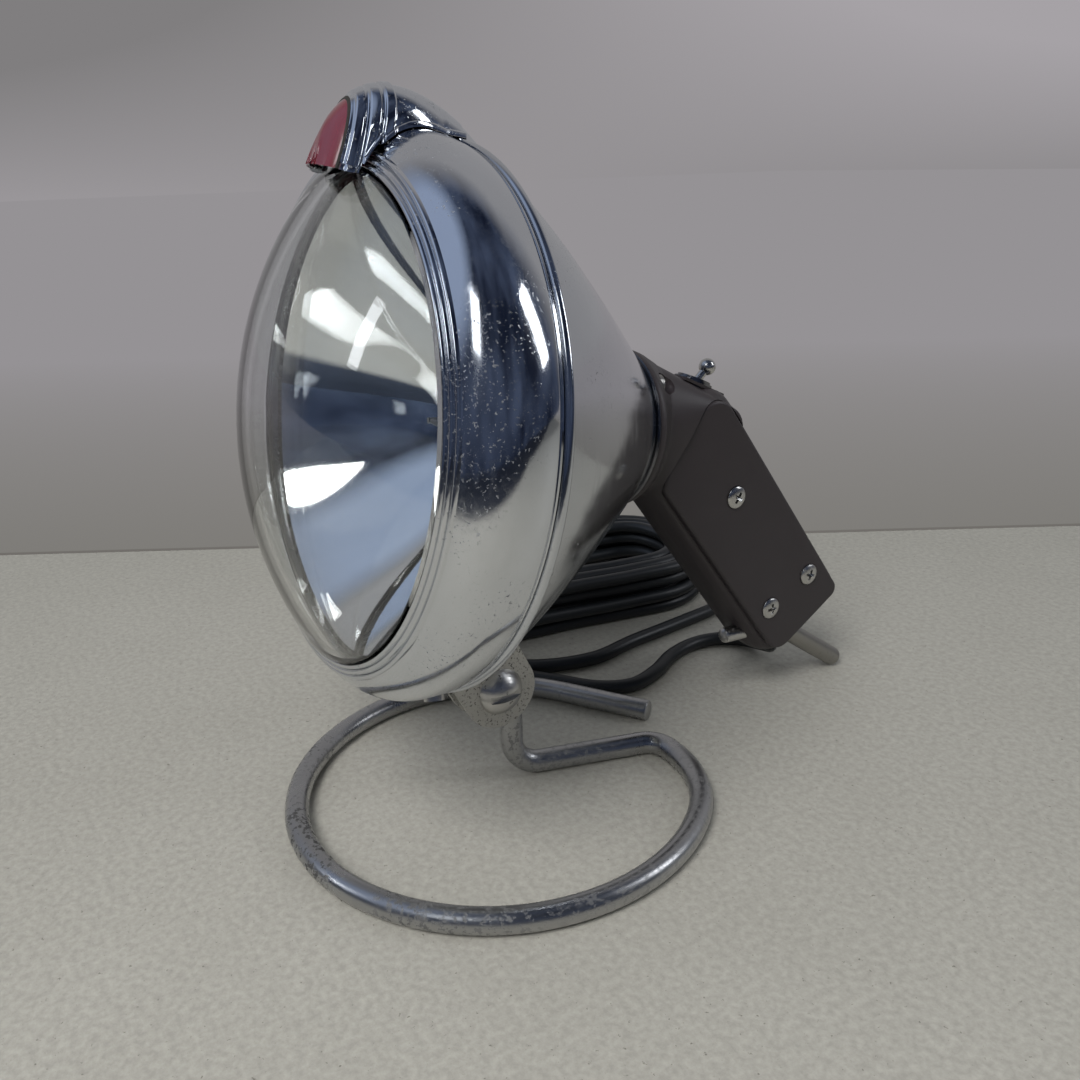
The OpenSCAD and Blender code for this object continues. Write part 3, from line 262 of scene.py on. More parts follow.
def grid(rings, closed=True, caps=False, loop=False):
    """Quads between rings of points; closed joins each ring's ends, loop joins last to first."""
    bm = bmesh.new()
    vs = [[bm.verts.new(p) for p in r] for r in rings]
    n = len(rings[0])
    pairs = list(zip(vs, vs[1:])) + ([(vs[-1], vs[0])] if loop else [])
    for a, b in pairs:
        for i in range(n if closed else n - 1):
            j = (i + 1) % n
            f = [a[i], a[j], b[j], b[i]]
            if len({v.co.to_tuple(6) for v in f}) > 2:
                bm.faces.new(f)
    if caps:
        bm.faces.new(vs[0])
        bm.faces.new(list(reversed(vs[-1])))
    return bm


def lathe(profile, n=160, a0=0.0, a1=2 * pi):
    """Profile of (radius, distance) turned about the lamp's own axis."""
    full = abs(a1 - a0 - 2 * pi) < 1e-6
    k = n if full else n + 1
    rings = [[(r * cos(a0 + (a1 - a0) * i / n), s, r * sin(a0 + (a1 - a0) * i / n))
              for i in range(k)] for r, s in profile]
    return grid(rings, closed=full, loop=True)


def tube(path, r, sides=12, caps=True, first=None):
    """A round tube along points, with its frame carried along."""
    P = [Vector(p) for p in path]
    T = [(P[min(i + 1, len(P) - 1)] - P[max(i - 1, 0)]).normalized() for i in range(len(P))]
    u = Vector(first) if first else T[0].orthogonal()
    rings = []
    for i, (p, t) in enumerate(zip(P, T)):
        u = (u - u.dot(t) * t).normalized()
        w = t.cross(u)
        rr = r(i) if callable(r) else r
        rings.append([p + rr * (cos(2 * pi * k / sides) * u + sin(2 * pi * k / sides) * w)
                      for k in range(sides)])
    return grid(rings, caps=caps)


def modify(ob, kind, **settings):
    m = ob.modifiers.new(kind.lower(), kind)
    for k, v in settings.items():
        setattr(m, k, v)
    return m


def apply_all(ob):
    dg = bpy.context.evaluated_depsgraph_get()
    me = bpy.data.meshes.new_from_object(ob.evaluated_get(dg))
    ob.modifiers.clear()
    ob.data = me


def steps(a, b, n):
    return [a + (b - a) * i / n for i in range(n + 1)]


def ring_mean(pts, n):
    """Catmull-Rom through points, n steps a segment."""
    P = [Vector(p) for p in pts]
    out = []
    for i in range(len(P) - 1):
        a, b, c, d = P[max(i - 1, 0)], P[i], P[i + 1], P[min(i + 2, len(P) - 1)]
        for k in range(n):
            t = k / n
            out.append(0.5 * (2 * b + (c - a) * t + (2 * a - 5 * b + 4 * c - d) * t * t
                              + (3 * b - a - 3 * c + d) * t ** 3))
    return out + [P[-1]]


# Cord: the same route as the solids, with more rings
CORD_D, HANK_AT, HANK_TURN = 6.0, Vector((-119.5, 56.5)), radians(-10)
HANK_R, STEP, LAYER, RUN, TURNS, LAYERS = 38.5, 6.7, 6.55, 80.0, 3, 4
CORD_Z = 3.05


def hank_to_row(x, y, z):
    c, s = cos(HANK_TURN), sin(HANK_TURN)
    return Vector((HANK_AT.x + x * c - y * s, HANK_AT.y + x * s + y * c, z))


def hank_plan(i, a):
    if i <= 8:
        return a * cos(-pi * i / 8), -RUN / 2 + a * sin(-pi * i / 8)
    if i < 12:
        return -a, -RUN / 2 + RUN * (i - 8) / 4
    if i <= 20:
        t = pi - pi * (i - 12) / 8
        return a * cos(t), RUN / 2 + a * sin(t)
    return a, RUN / 2 - RUN * (i - 20) / 4


def hank_point(k):
    m = k % (48 * TURNS)
    inner = HANK_R - TURNS * STEP
    a = HANK_R - STEP * m / 24 if m < 24 * TURNS else inner + STEP * (m - 24 * TURNS) / 24
    z = CORD_Z + LAYER * sum(min(1, max(0, (k - n * 24 * TURNS + 6) / 12)) for n in range(1, LAYERS))
    x, y = hank_plan((k + 4) % 24, a)
    return hank_to_row(x, y, z)


hank = [hank_point(k / 2) for k in range(48 * TURNS * LAYERS + 1)]
LEAD = [(103, 56, 11), (97, 60, 6.5), (89, 60, 4), (81, 56, 3), (76, 47, 3), (76, 34, 3),
        (82, 20, 3), (92, 7, 3), (98, -7, 3), (94, -21, 3), (82, -34, 3), (68, -51, 3),
        (60, -70, 3), (46, -87, 3), (24, -97, 3), (-6, -98, 3), (-32, -88, 3), (-45, -66, 3),
        (-47, -40, 3), (-47, -12, 3), (-47, 16, 3), (-45, 46, 3), (-34, 74, 3), (-8, 90, 3),
        (22, 87, 3), (44, 68, 3), (54, 40, 3), (62, 12, 3), (70, -14, 3),
        (64, -42, 3), (44, -66, 3), (20, -77, 3)]
TAIL_ROUTE = [(-22, -80, 21.5), (-44, -79, 18), (-61, -70, 14.5), (-69, -56, 12)]
PLUG_AT, PLUG_Z = (-70, -44), 11.05
down = Vector((0, cos(radians(-53.7)), sin(radians(-53.7))))
exit_point = Vector((-7, 90.0693, 18.6002))
ex = Vector((cos(HANK_TURN), sin(HANK_TURN), 0))
lead_start = exit_point
start = hank[0] + CORD_D * ex
end = hank[-1] - CORD_D * ex
lead = [lead_start] + ring_mean(
    [lead_start + CORD_D * down] + [hank_to_row(x, y, z + 0.05) for x, y, z in LEAD] + [start], 6)
plug_in = hank_to_row(PLUG_AT[0], PLUG_AT[1], PLUG_Z)
plug_dir = Vector((-sin(HANK_TURN), cos(HANK_TURN), 0))
tail = ring_mean([end] + [hank_to_row(x, y, z + 0.05) for x, y, z in TAIL_ROUTE]
                 + [plug_in - CORD_D * plug_dir], 6) + [plug_in]
route = lead[:-1] + [start] + hank + tail
SWAY_AT = [Vector((0, 0, 0)), Vector((31.7, 5.2, 11.9)), Vector((-17.3, 23.8, 7.1))]


def sway(p):
    """A smooth wander that is the same on every run."""
    return Vector([noise.noise(p + at) for at in SWAY_AT])


clean = [route[0]]
for p in route[1:]:
    if (p - clean[-1]).length > 1.2:
        clean.append(p)
route = clean
# A slow drift takes the machine-wound look from the hank, within the reach of the solids
REACH_X, REACH_Y = -211.2, 157
drift = []
for i, p in enumerate(route):
    near = min(1, max(0, ((p - exit_point).length - 60) / 60), (p - plug_in).length / 60)
    q = sway(p / 62) * 5.0 + sway(p / 24) * 1.2
    if p.z > CORD_Z + 1.5:
        q.z *= 0.5
    else:
        q.z = 0
    q = p + q * near * (0.35 if (p - Vector((5.5, RING_Y, 4))).length < 100 else 1)
    drift.append(Vector((max(q.x, REACH_X), min(q.y, REACH_Y), max(q.z, CORD_Z))))
route = drift
cord = put("cord", tube(route, CORD_D / 2, 12), "stand", CORD,
           cad=("cord_lead", "cord_hank", "cord_tail"), ride=False)
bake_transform(cord)

# Lamp shell
BEZEL_R, RIM, CROWN_S, CROWN_L, CROWN_H, HEEL = 81.4, 69.0, 18.0, 17.5, 21.4, 30.0
DEPTH, SHELL, BACK = 28.7, 100.0, 26.0
CB = BEZEL_R - CROWN_H


def bezel_at(s):
    if s < CROWN_S:
        return CB + CROWN_H * sqrt(max(0, 1 - ((CROWN_S - s) / CROWN_L) ** 2))
    return BEZEL_R - HEEL + sqrt(HEEL ** 2 - (s - CROWN_S) ** 2)


def crown_s(r, off=0.0):
    return CROWN_S - (CROWN_L - off) * cos(asin((r - CB) / (CROWN_H - off)))


def crown(off, r0, n=40):
    a0 = asin((r0 - CB) / (CROWN_H - off))
    return [(CB + (CROWN_H - off) * sin(a), CROWN_S - (CROWN_L - off) * cos(a))
            for a in steps(a0, pi / 2, n)]


def heel(off, n=10):
    return [(BEZEL_R - HEEL + sqrt((HEEL - off) ** 2 - (s - CROWN_S) ** 2), s)
            for s in steps(CROWN_S, DEPTH, n)]


SEAM = bezel_at(DEPTH)
B0, B1, B2 = Vector((SEAM, DEPTH)), Vector((SEAM - 8.5, DEPTH + 19.1)), Vector((BACK, SHELL))


def bowl_pt(t, off=0.0):
    p = (1 - t) ** 2 * B0 + 2 * t * (1 - t) * B1 + t * t * B2
    v = ((1 - t) * (B1 - B0) + t * (B2 - B1)).normalized()
    return p + off * Vector((v.y, -v.x))


def bowl_at(s):
    qa, qb = B0.y - 2 * B1.y + B2.y, 2 * (B1.y - B0.y)
    t = (-qb + sqrt(qb * qb - 4 * qa * (B0.y - s))) / (2 * qa)
    return bowl_pt(t).x


lip = [(RIM + 0.05, crown_s(RIM + 0.05, 1.0)), (RIM + 0.02, crown_s(RIM) + 0.3)]
for k in range(3):
    rc = RIM + 0.75 + 1.65 * k
    sc = crown_s(rc) + 0.1
    lip += [(rc + 0.75 * cos(a), sc + 0.75 * sin(a)) for a in steps(pi * 1.02, pi * 1.88, 7)]
skirt = heel(0.0)[1:-1]
turned = [(SEAM + 0.2, DEPTH - 0.9), (SEAM + 0.15, DEPTH - 0.3), (SEAM - 0.35, DEPTH)]
bezel_inside = list(reversed(heel(1.0))) + list(reversed(crown(1.0, RIM + 0.1)))[1:]
put("bezel_shell", lathe(lip + crown(0.0, RIM + 4.9) + skirt + turned + bezel_inside, 256),
    "head", CHROME, HEAD, ("front_bezel",), 40)
bowl_out = [tuple(bowl_pt(t)) for t in steps(0, 1, 40)]
bowl_in = [tuple(bowl_pt(t, -1.0)) for t in steps(1, 0.0, 30)]
roll = [(SEAM - 0.2 + 1.4 * cos(a), DEPTH + 1.45 + 1.4 * sin(a)) for a in steps(-pi * 0.75, pi * 0.42, 14)]
bowl_out = [p for p in bowl_out if p[1] > DEPTH + 2.9]
put("bowl_shell", lathe([(78.2, DEPTH - 7), (78.2, DEPTH - 0.2)] + roll + bowl_out
                              + [(9.05, SHELL), (9.05, SHELL - 1)]
                              + [p for p in bowl_in if p[1] < SHELL - 1.2 and p[1] > DEPTH + 2]
                              + [(76.6, DEPTH + 1), (77.2, DEPTH - 7)], 256),
           "head", BOWL, HEAD, ("rear_bowl",), 40)
trim_profile = [(9.05, 100.02), (26.7, 100.02)]
for k in range(2):
    sc = 100.35 + 0.45 * k
    trim_profile += [(26.7 + 0.35 * cos(a), sc + 0.22 * sin(a)) for a in steps(-pi / 2, pi / 2, 6)]
trim_profile += [(26.6, 101.18), (9.05, 101.18)]
put("neck_ring", lathe(trim_profile, 128), "head", TRIM, HEAD, ("neck_trim",), 40)

# Sealed lamp
EDGE, RISE = 68.8, 20.0
SEAT = crown_s(RIM + 4, 1.0) + 0.8


def dome(r, edge, base):
    return base - RISE * (1 - (r / edge) ** 2.3)


lens_out = [(r, dome(r, EDGE, 1.0)) for r in steps(0.001, EDGE, 56)]
lens_in = [(r, dome(r, 66.5, 4.2)) for r in steps(66.5, 0.001, 50)]
put("lens_dome", lathe(lens_out + [(EDGE, SEAT), (73, SEAT), (73, SEAT + 3), (66.5, SEAT + 3)]
                             + lens_in, 192),
           "head", LENS, HEAD, ("lens_glass",), 30)
REF_S, FOCAL = SEAT + 3, 22.0
VERTEX = REF_S + 66.5 ** 2 / (4 * FOCAL)
refl = [(r, VERTEX - r * r / (4 * FOCAL)) for r in steps(0.001, 66.5, 48)]
back = [(r, VERTEX + 2.5 - r * r / (4 * FOCAL)) for r in steps(68, 14, 30)]
put("reflector_bowl", lathe(refl + [(73, REF_S), (73, REF_S + 2), (69.5, REF_S + 2)] + back
                                       + [(14, VERTEX + 6.5), (0.001, VERTEX + 6.5)], 192),
                "head", MIRROR, HEAD, ("reflector",), 40)

# Marker lamp
MF, MP, MH, ML = -7.5, 13.9, 23.0, 51.5
MT = MF + ML
FOOT = RIM - 1


def seat_at(s):
    if s < 0.5:
        return FOOT
    if s < 6:
        return bezel_at(max(s + 0.75, 2.3)) + 1.05
    if s < DEPTH - 2.7:
        return bezel_at(s) + 0.3
    return SEAM + 1.5 if s < DEPTH + 4 else bowl_at(s) + 0.3


def seat_under(s, lean):
    under = s + lean * (seat_at(s) - FOOT)
    return seat_at(s + lean * (seat_at(under) - FOOT))


def m_top(s):
    if s < MP:
        return FOOT + MH * sqrt(max(0, 1 - ((MP - s) / (MP - MF + 0.1)) ** 2))
    return FOOT + MH - 14.5 * ((s - MP) / (MT + 1 - MP)) ** 1.8


def m_half(s):
    if s < 9:
        return 12 * max(0.02, 1 - ((9 - s) / (9.4 - MF)) ** 3) ** (1 / 3)
    return 12 - 11 * ((s - 9) / (MT + 1 - 9)) ** 1.6


def rib(s):
    r = 0.0
    for c in (3.0, 6.5, 10.0):
        d = abs(s - c)
        r = max(r, 0.75 * min(1, max(0, (1.45 - d) / 0.5)))
    return r


def m_ring(s, grow=0.0, flange=0.0, n=36, wall=1.4):
    top = m_top(s) + grow
    lean = 0.27 * max(0, 1 - max(0, s) / 25)
    base = s - lean * (top - FOOT)
    seat = seat_under(base, lean)
    half = max(0.8, m_half(base) + grow)
    foot = sqrt(seat ** 2 - half ** 2)
    rise = max(top - foot, 0.8)
    pts = []
    lipz = min(1.4, 0.6 * rise) if flange else 0
    a0 = asin(min(0.95, lipz / rise))
    if flange:
        e = sqrt(seat ** 2 - (half + flange) ** 2)
        pts += [(half + flange, e), (half + flange, foot + lipz - 0.4), (half + flange - 0.4, foot + lipz)]
    pts += [(half * cos(a), foot + rise * sin(a)) for a in steps(a0, pi - a0, n)]
    if flange:
        pts += [(-half - flange + 0.4, foot + lipz), (-half - flange, foot + lipz - 0.4),
                (-half - flange, e)]
    ih = max(half - wall, 0.3)
    fi = sqrt(seat ** 2 - ih ** 2)
    ri = max(top - wall - fi, 0.3)
    k = len(pts)
    pts += [(ih * cos(a), fi + ri * sin(a)) for a in steps(pi, 0, k - 1)]
    return [(x, base + lean * (z - FOOT), z) for x, z in pts]


def shell(stations, grow=0.0, flange=0.0, ribs=False, n=36, wall=1.4):
    rings = [m_ring(s, grow + (rib(s) if ribs else 0), flange, n, wall) for s in stations]
    bm = grid(rings)
    bm.verts.ensure_lookup_table()
    m = len(rings[0])
    for j in (0, len(rings) - 1):
        for i in range(m // 2 - 1):
            q = [bm.verts[j * m + v] for v in (i, i + 1, m - 2 - i, m - 1 - i)]
            if bm.faces.get(q) is None:
                bm.faces.new(q)
    return bm


st = [0.6] + [0.9 + 0.22 * i for i in range(54)] + list(steps(13, MT, 40))
put("marker_cover", shell(st, 0, 1.5, True), "head", CHROME, HEAD, ("marker_housing",), 50)
st = [-7.38, -7.3, -7.15, -6.9, -6.5, -6, -5.3, -4.5, -3.6, -2.6, -1.5, -0.5, 0.0]
put("marker_glass", shell(st, -0.3, 0, wall=2.2), "head", RED, HEAD, ("marker_lens",), 60)
put("marker_seal", shell([0.05, 0.3, 0.55], 0.1, 0, wall=2.0), "head", GASKET, HEAD,
            ("marker_gasket",), 60)

# Stand
ROD_R, RING_R, SIDE, PB, PZ = 4.0, 69.8, 5.5, 0.95, 39.25
EYE_R = 4.0 + 3.175 + 0.08
post = Vector((-SIDE, PB + EYE_R))
ah = radians(73.1)
ad, an = Vector((cos(ah), sin(ah))), Vector((sin(ah), -cos(ah)))
arm0 = post + ad * 10
sc = Vector((cos(radians(40)), sin(radians(40)))) * (RING_R - 45)
ef = post + an * 9 - sc
al = ef.dot(ad)
ec = sc + ef + ad * (sqrt(al * al - ef.length_squared + 36 ** 2) - al)
ea = degrees(atan2(ec.y - sc.y, ec.x - sc.x))
cc = Vector((cos(radians(190)), sin(radians(190)))) * (RING_R - 62)


def flat(c, r, a, b, n):
    return [(c.x + r * cos(radians(t)), c.y + r * sin(radians(t)), ROD_R) for t in steps(a, b, n)]


rod = [(post.x, PB + EYE_R * cos(a), PZ + EYE_R * sin(a)) for a in steps(radians(245), 0, 48)]
rod += [(post.x, post.y, z) for z in (32, 24, 18)]
rod += [((arm0 - 10 * cos(a) * ad).x, (arm0 - 10 * cos(a) * ad).y, 14 - 10 * sin(a))
        for a in steps(0, pi / 2, 16)]
arm1 = ec - an * 9
rod += [tuple(arm0.lerp(arm1, t)) + (ROD_R,) for t in (0.25, 0.5, 0.75)]
rod += flat(ec, 9, 163.1, ea, 14) + flat(sc, 45, ea, 40, 14)[1:]
rod += flat(Vector((0, 0)), RING_R, 40, -170, 96)[1:] + flat(cc, 62, 190, 122, 28)[1:]
f0 = Vector(rod[-1][:2])
fd = Vector((cos(radians(32)), sin(radians(32))))
rod += [tuple(f0 + fd * t) + (ROD_R,) for t in (12, 24, 37.3, 37.8, 38)]
last = len(rod) - 1


def rod_rad(i):
    return 3.6 if i in (0, last) else 3.85 if i == last - 1 else ROD_R


put("rod_stand", tube([(x + SIDE, y + RING_Y, z) for x, y, z in rod], rod_rad, 40,
                              first=(1, 0, 0)),
            "stand", ROD, Matrix.Identity(4), ("stand_rod",), 40)


# Handle: moulded body and side cover
def corners(shoulder_x=-3.0, back=8.4, front=-30.0, throat=9.0, ln=112.5):
    return [(shoulder_x, back, 9), (throat, front, 7), (ln - 3, front, 8), (ln, back, 4)]


def outline(c, d, n=8):
    """Convex outline grown by d, with its rounded corners."""
    out = []
    m = len(c)
    for i in range(m):
        p, q, r = Vector(c[i][:2]), Vector(c[i - 1][:2]), Vector(c[(i + 1) % m][:2])
        a, b = (p - q).normalized(), (r - p).normalized()
        na, nb = Vector((a.y, -a.x)), Vector((b.y, -b.x))
        p2 = p + (na + nb) * d / (1 + na.dot(nb))
        rad = max(c[i][2] + d, 0.5)
        u, v = -a, b
        half = acos(max(-1, min(1, u.dot(v)))) / 2
        centre = p2 + (u + v).normalized() * rad / sin(half)
        s0 = p2 + u * rad / tan(half) - centre
        sweep = pi - 2 * half
        for k in range(n + 1):
            t = sweep * k / n
            out.append(centre + Vector((s0.x * cos(t) - s0.y * sin(t), s0.x * sin(t) + s0.y * cos(t))))
    return out


COVER = corners()
rings = []
for x, d in [(-13.9, -2.2), (-13.5, -0.6), (-12.6, 0.7), (-11, 1.9), (-8, 3.2), (-4, 4.0), (0, 4.2),
             (4, 4.0), (7.5, 3.2), (9.6, 2.2), (10.6, 1.5), (11.0, 0.9)]:
    rings.append([(x, p.x, p.y) for p in outline(COVER, d)])
body = put("grip_shape", grid(rings, caps=True), "head", BLACK, GRIP, ride=False, sharp=180)


def ellipse(s, rx, rz, h=0.0, n=64):
    return [(rx * cos(2 * pi * k / n), s, h + rz * sin(2 * pi * k / n)) for k in range(n)]


def hull_of(points):
    bm = bmesh.new()
    for p in points:
        bm.verts.new(p)
    bmesh.ops.convex_hull(bm, input=bm.verts)
    bmesh.ops.delete(bm, geom=[v for v in bm.verts if not v.link_faces], context="VERTS")
    return put("neck_shape", bm, "head", BLACK, HEAD, ride=False, sharp=180)


def across(s, h, r, x0, x1, n=32):
    return [(x, s + r * cos(2 * pi * k / n), h + r * sin(2 * pi * k / n))
            for x in (x0, x1) for k in range(n)]


WAIST = 112.5
rings = [ellipse(s, rx, rz) for s, rx, rz in
         [(101.25, 26.0, 26.0), (101.7, 26.5, 26.5), (103.8, 26.5, 26.5), (104.3, 25.9, 26.2),
          (105.6, 24.3, 26.0), (107.4, 22.2, 25.5), (109.8, 19.4, 24.5), (WAIST + 1, 16.6, 23.0)]]
neck = put("neck_flare", grid(rings, caps=True), "head", BLACK, HEAD, ride=False, sharp=180)
block = hull_of(ellipse(WAIST, 16.2, 23) + across(141, 1.8, 10.0, -9, 7) + across(141, 1.8, 8.3, -13, 13.6)
                + across(126.3, -17, 6, -13, 13.6))


def join_cast(name, parts, voxel, smooth):
    bm = bmesh.new()
    for o in parts:
        bm.from_mesh(o.data)
    me = bpy.data.meshes.new(name)
    bm.to_mesh(me)
    bm.free()
    ob = bpy.data.objects.new(name, me)
    bpy.context.scene.collection.objects.link(ob)
    me.materials.append(BLACK)
    modify(ob, "REMESH", mode="VOXEL", voxel_size=voxel * MM)
    modify(ob, "SMOOTH", factor=0.5, iterations=smooth)
    apply_all(ob)
    for o in parts:
        bpy.data.objects.remove(o)
    return ob


cast = join_cast("grip_casting", [body, neck, block], 0.6, 5)


def cutter(bm, M):
    return put("cutter", bm, "head", BLACK, M, ride=False, sharp=180)


def rod_bm(r, p0, p1, sides=40):
    return tube([p0, p1], r, sides)


def box_bm(x0, x1, y0, y1, z0, z1):
    bm = bmesh.new()
    bmesh.ops.create_cube(bm, size=1)
    bmesh.ops.scale(bm, vec=(x1 - x0, y1 - y0, z1 - z0), verts=bm.verts)
    bmesh.ops.translate(bm, vec=((x0 + x1) / 2, (y0 + y1) / 2, (z0 + z1) / 2), verts=bm.verts)
    return bm


def cut(ob, cutters):
    for c in cutters:
        modify(ob, "BOOLEAN", operation="DIFFERENCE", object=c, solver="EXACT")
    apply_all(ob)
    for c in cutters:
        bpy.data.objects.remove(c)


HOLE = [(106.9, 3.7), (113, 3.7), (114.6, 3.4), (115.8, 2.8), (116.6, 1.9), (117, 0.6)]
HOLE_X, HOLE_H, HOLE_RISE = 12, 16.5, 0.09
GROOVE, POCKET_X = 0.28, 11


def neck_hole(side):
    path = [(side * HOLE_X, s, HOLE_H + HOLE_RISE * (s - 107)) for s, r in HOLE]
    return tube(path, lambda i: HOLE[i][1], 40)


cutters = [cutter(neck_hole(k), HEAD) for k in (-1, 1)]
cutters.append(cutter(box_bm(-7.2, 7.2, -9.7, 9.7, 0, 8), SWITCH))
pocket = [[(x, p.x, p.y) for p in outline(COVER, GROOVE)] for x in (POCKET_X, 30)]
cutters.append(cutter(grid(pocket, caps=True), GRIP))
cutters.append(cutter(rod_bm(6.05, (0, 0, -5), (0, 0, 6)), SWITCH))
cutters.append(cutter(rod_bm(5.25, (-7, 103, -19.2), (-7, 120, -19.2)), GRIP))
cut(cast, cutters)


def finished(ob, angle, slot, *cad):
    """Shades a cut piece and puts it on the head."""
    for p in ob.data.polygons:
        p.use_smooth = True
    ob.data.set_sharp_from_angle(angle=radians(angle))
    if not ob.data.materials:
        ob.data.materials.append(BLACK)
    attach(ob, "head")
    if cad:
        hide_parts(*cad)


finished(cast, 38, "black_plastic", "grip_body")

# Side cover with a rounded edge and countersunk holes
COVER_EDGE = [(11.0, -0.25), (11.15, -0.05), (13.2, 0.0), (13.55, -0.12), (13.8, -0.38),
              (13.95, -0.75), (14.0, -1.2)]
rings = [[(x, p.x, p.y) for p in outline(COVER, d, 10)] for x, d in COVER_EDGE]
cover = put("side_cover", grid(rings, caps=True), "head", BLACK, GRIP, ride=False, sharp=25)
SCREWS = [(37.5, -8.5), (93.0, 0.1), (89.1, -21.2)]
cuts = []
for g, b in SCREWS:
    cuts.append(cutter(tube([(11.8, g, b), (14.01, g, b), (14.6, g, b)],
                            lambda i: (1.95, 4.4, 4.55)[i], 48), GRIP))
cut(cover, cuts)
finished(cover, 25, "black_plastic", "cover_plate")

# Cover screws: oval heads with a cross recess
SCREW_R, SCREW_TOP = 4.2, 15.35
RECESS_HALF, RECESS_LONG, RECESS_TO = 0.62, 2.75, 13.4
for n, (g, b) in enumerate(SCREWS):
    prof = [(0.001, SCREW_TOP)]
    prof += [(SCREW_R * sin(a), 14.15 + 1.2 * cos(a)) for a in steps(0.15, pi / 2, 12)]
    prof += [(SCREW_R, 14.0), (1.85, 11.9), (1.85, 3), (0.001, 3)]
    rings = [[(h, r * cos(2 * pi * i / 64), r * sin(2 * pi * i / 64)) for i in range(64)] for r, h in prof]
    M = GRIP @ Matrix.Translation((0, g, b))
    screw = put("cover_screw_%d" % (n + 1), grid(rings), "head", BRIGHT, M, ride=False, sharp=35)
    bmx = bmesh.new()
    bmx.from_mesh(screw.data)
    bmesh.ops.holes_fill(bmx, edges=[e for e in bmx.edges if e.is_boundary])
    bmx.to_mesh(screw.data)
    bmx.free()
    cs = []
    for q in (20 + 17 * n, 110 + 17 * n):
        R = M @ Matrix.Rotation(radians(q), 4, "X")
        bmq = bmesh.new()
        w, l, x = RECESS_HALF, RECESS_LONG, RECESS_TO
        vs = [bmq.verts.new(v) for v in [
            (16, -l, -w), (16, l, -w), (16, l, w), (16, -l, w),
            (x, -l * 0.35, -w * 0.6), (x, l * 0.35, -w * 0.6),
            (x, l * 0.35, w * 0.6), (x, -l * 0.35, w * 0.6)]]
        bmesh.ops.convex_hull(bmq, input=vs)
        cs.append(cutter(bmq, R))
    cut(screw, cs)
    finished(screw, 35, "bright_steel")
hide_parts("cover_screws")

# Finishes on the CAD nodes that stay
finish = {
    "bracket": STRAP, "bracket_rivets": STRAP, "clamp_screw": BRIGHT, "clamp_nut": BRIGHT,
    "lock_washer": BRIGHT, "bezel_screw": BRIGHT, "neck_screws": TAIL, "marker_screws": BRIGHT,
    "retaining_ring": BRIGHT, "tail_rod": TAIL, "front_peg": BRIGHT, "filament_posts": BRIGHT,
    "switch_bushing": TRIM, "switch_lever": BRIGHT, "plug_contacts": BRIGHT, "plug_spring": BRIGHT,
    "marker_bulb": BULB, "lamp_gasket": GASKET, "strain_relief": CORD, "plug_relief": CORD,
    "lamp_terminals": BRASS, "terminal_lugs": BRASS, "neck_nipple": BRASS, "neck_nut": BRASS,
    "marker_socket": BRASS, "plug_tip": BRASS, "filament": TUNGSTEN, "switch_plate": BLACK,
    "plug_body": BLACK, "switch_body": BROWN, "lamp_wires": WIRE,
}
for name, mat in finish.items():
    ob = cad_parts[name]
    for s in ob.material_slots:
        s.material = mat

# Table, the wall behind it, and light. The wall is the part of the floor past the table's back edge, and
# it glows with its own colour instead of being lit.
bm = bmesh.new()
bmesh.ops.create_grid(bm, x_segments=1, y_segments=1, size=9000)
TABLE_BACK, TABLE_FRONT = 0.2165, 0.50
floor_m = Mat("table_top", lin(178, 177, 170), 0.55)
sep = floor_m.node("SeparateXYZ", Vector=floor_m.co)
across_m = floor_m.math("ADD", floor_m.math("MULTIPLY", sep.outputs[0], -0.8544),
                        floor_m.math("MULTIPLY", sep.outputs[1], 0.5195))
past = floor_m.math("SUBTRACT", across_m, TABLE_BACK)
grain = floor_m.noise(420, 4, 0.65)
spots = floor_m.ramp(floor_m.noise(520, 3, 0.7), (0.66, 0.0), (0.70, 1.0))
stain = floor_m.ramp(floor_m.noise(14, 4, 0.6), (0.4, 0.0), (0.75, 1.0))
table = floor_m.mix(floor_m.ramp(grain, (0.35, 0.0), (0.7, 1.0)), lin(150, 148, 141), lin(170, 168, 160))
table = floor_m.mix(floor_m.math("MULTIPLY", stain, 0.12), table, lin(124, 121, 113))
table = floor_m.mix(floor_m.math("MULTIPLY", spots, 0.7), table, lin(92, 88, 80))
# Painted reflection: beyond its front edge the table turns into a dark room that only the metal and glass
# see; the camera and the light still see the table.
out_front = floor_m.math("SUBTRACT", floor_m.math("MULTIPLY", across_m, -1.0), TABLE_FRONT)
fade = floor_m.ramp(floor_m.math("MULTIPLY", out_front, 8.0), (0.0, 0.0), (1.0, 1.0))
floor_rays = floor_m.t.nodes.new("ShaderNodeLightPath").outputs
shown = floor_m.math("MAXIMUM", floor_rays["Is Glossy Ray"], floor_rays["Is Transmission Ray"])
table = floor_m.mix(floor_m.math("MULTIPLY", fade, shown), table, lin(34, 37, 46))
floor_m.set("Base Color", table)
floor_m.bump(floor_m.math("ADD", grain, floor_m.math("MULTIPLY", spots, -0.5)), 0.3, 0.0005)
# Painted shade: the wall is darker towards its foot, and a thin band along the crease is a painted shadow
# line.
wall = floor_m.mix(floor_m.ramp(floor_m.math("MULTIPLY", past, 1.6), (0.0, 0.0), (1.0, 1.0)),
                   lin(126, 124, 120), lin(149, 146, 149))
wall = floor_m.mix(floor_m.math("LESS_THAN", past, 0.004), wall, lin(112, 109, 105))
glow = floor_m.node("Emission", Color=wall, Strength=1.0)
mix = floor_m.node("MixShader")
floor_m.t.links.new(floor_m.math("GREATER_THAN", past, 0.0), mix.inputs[0])
floor_m.t.links.new(floor_m.b.outputs[0], mix.inputs[1])
floor_m.t.links.new(glow.outputs[0], mix.inputs[2])
floor_m.t.links.new(mix.outputs[0], floor_m.t.nodes["Material Output"].inputs[0])
floor = put("floor", bm, "head", floor_m.m, ride=False, sharp=180)
floor.location.z = -0.0002

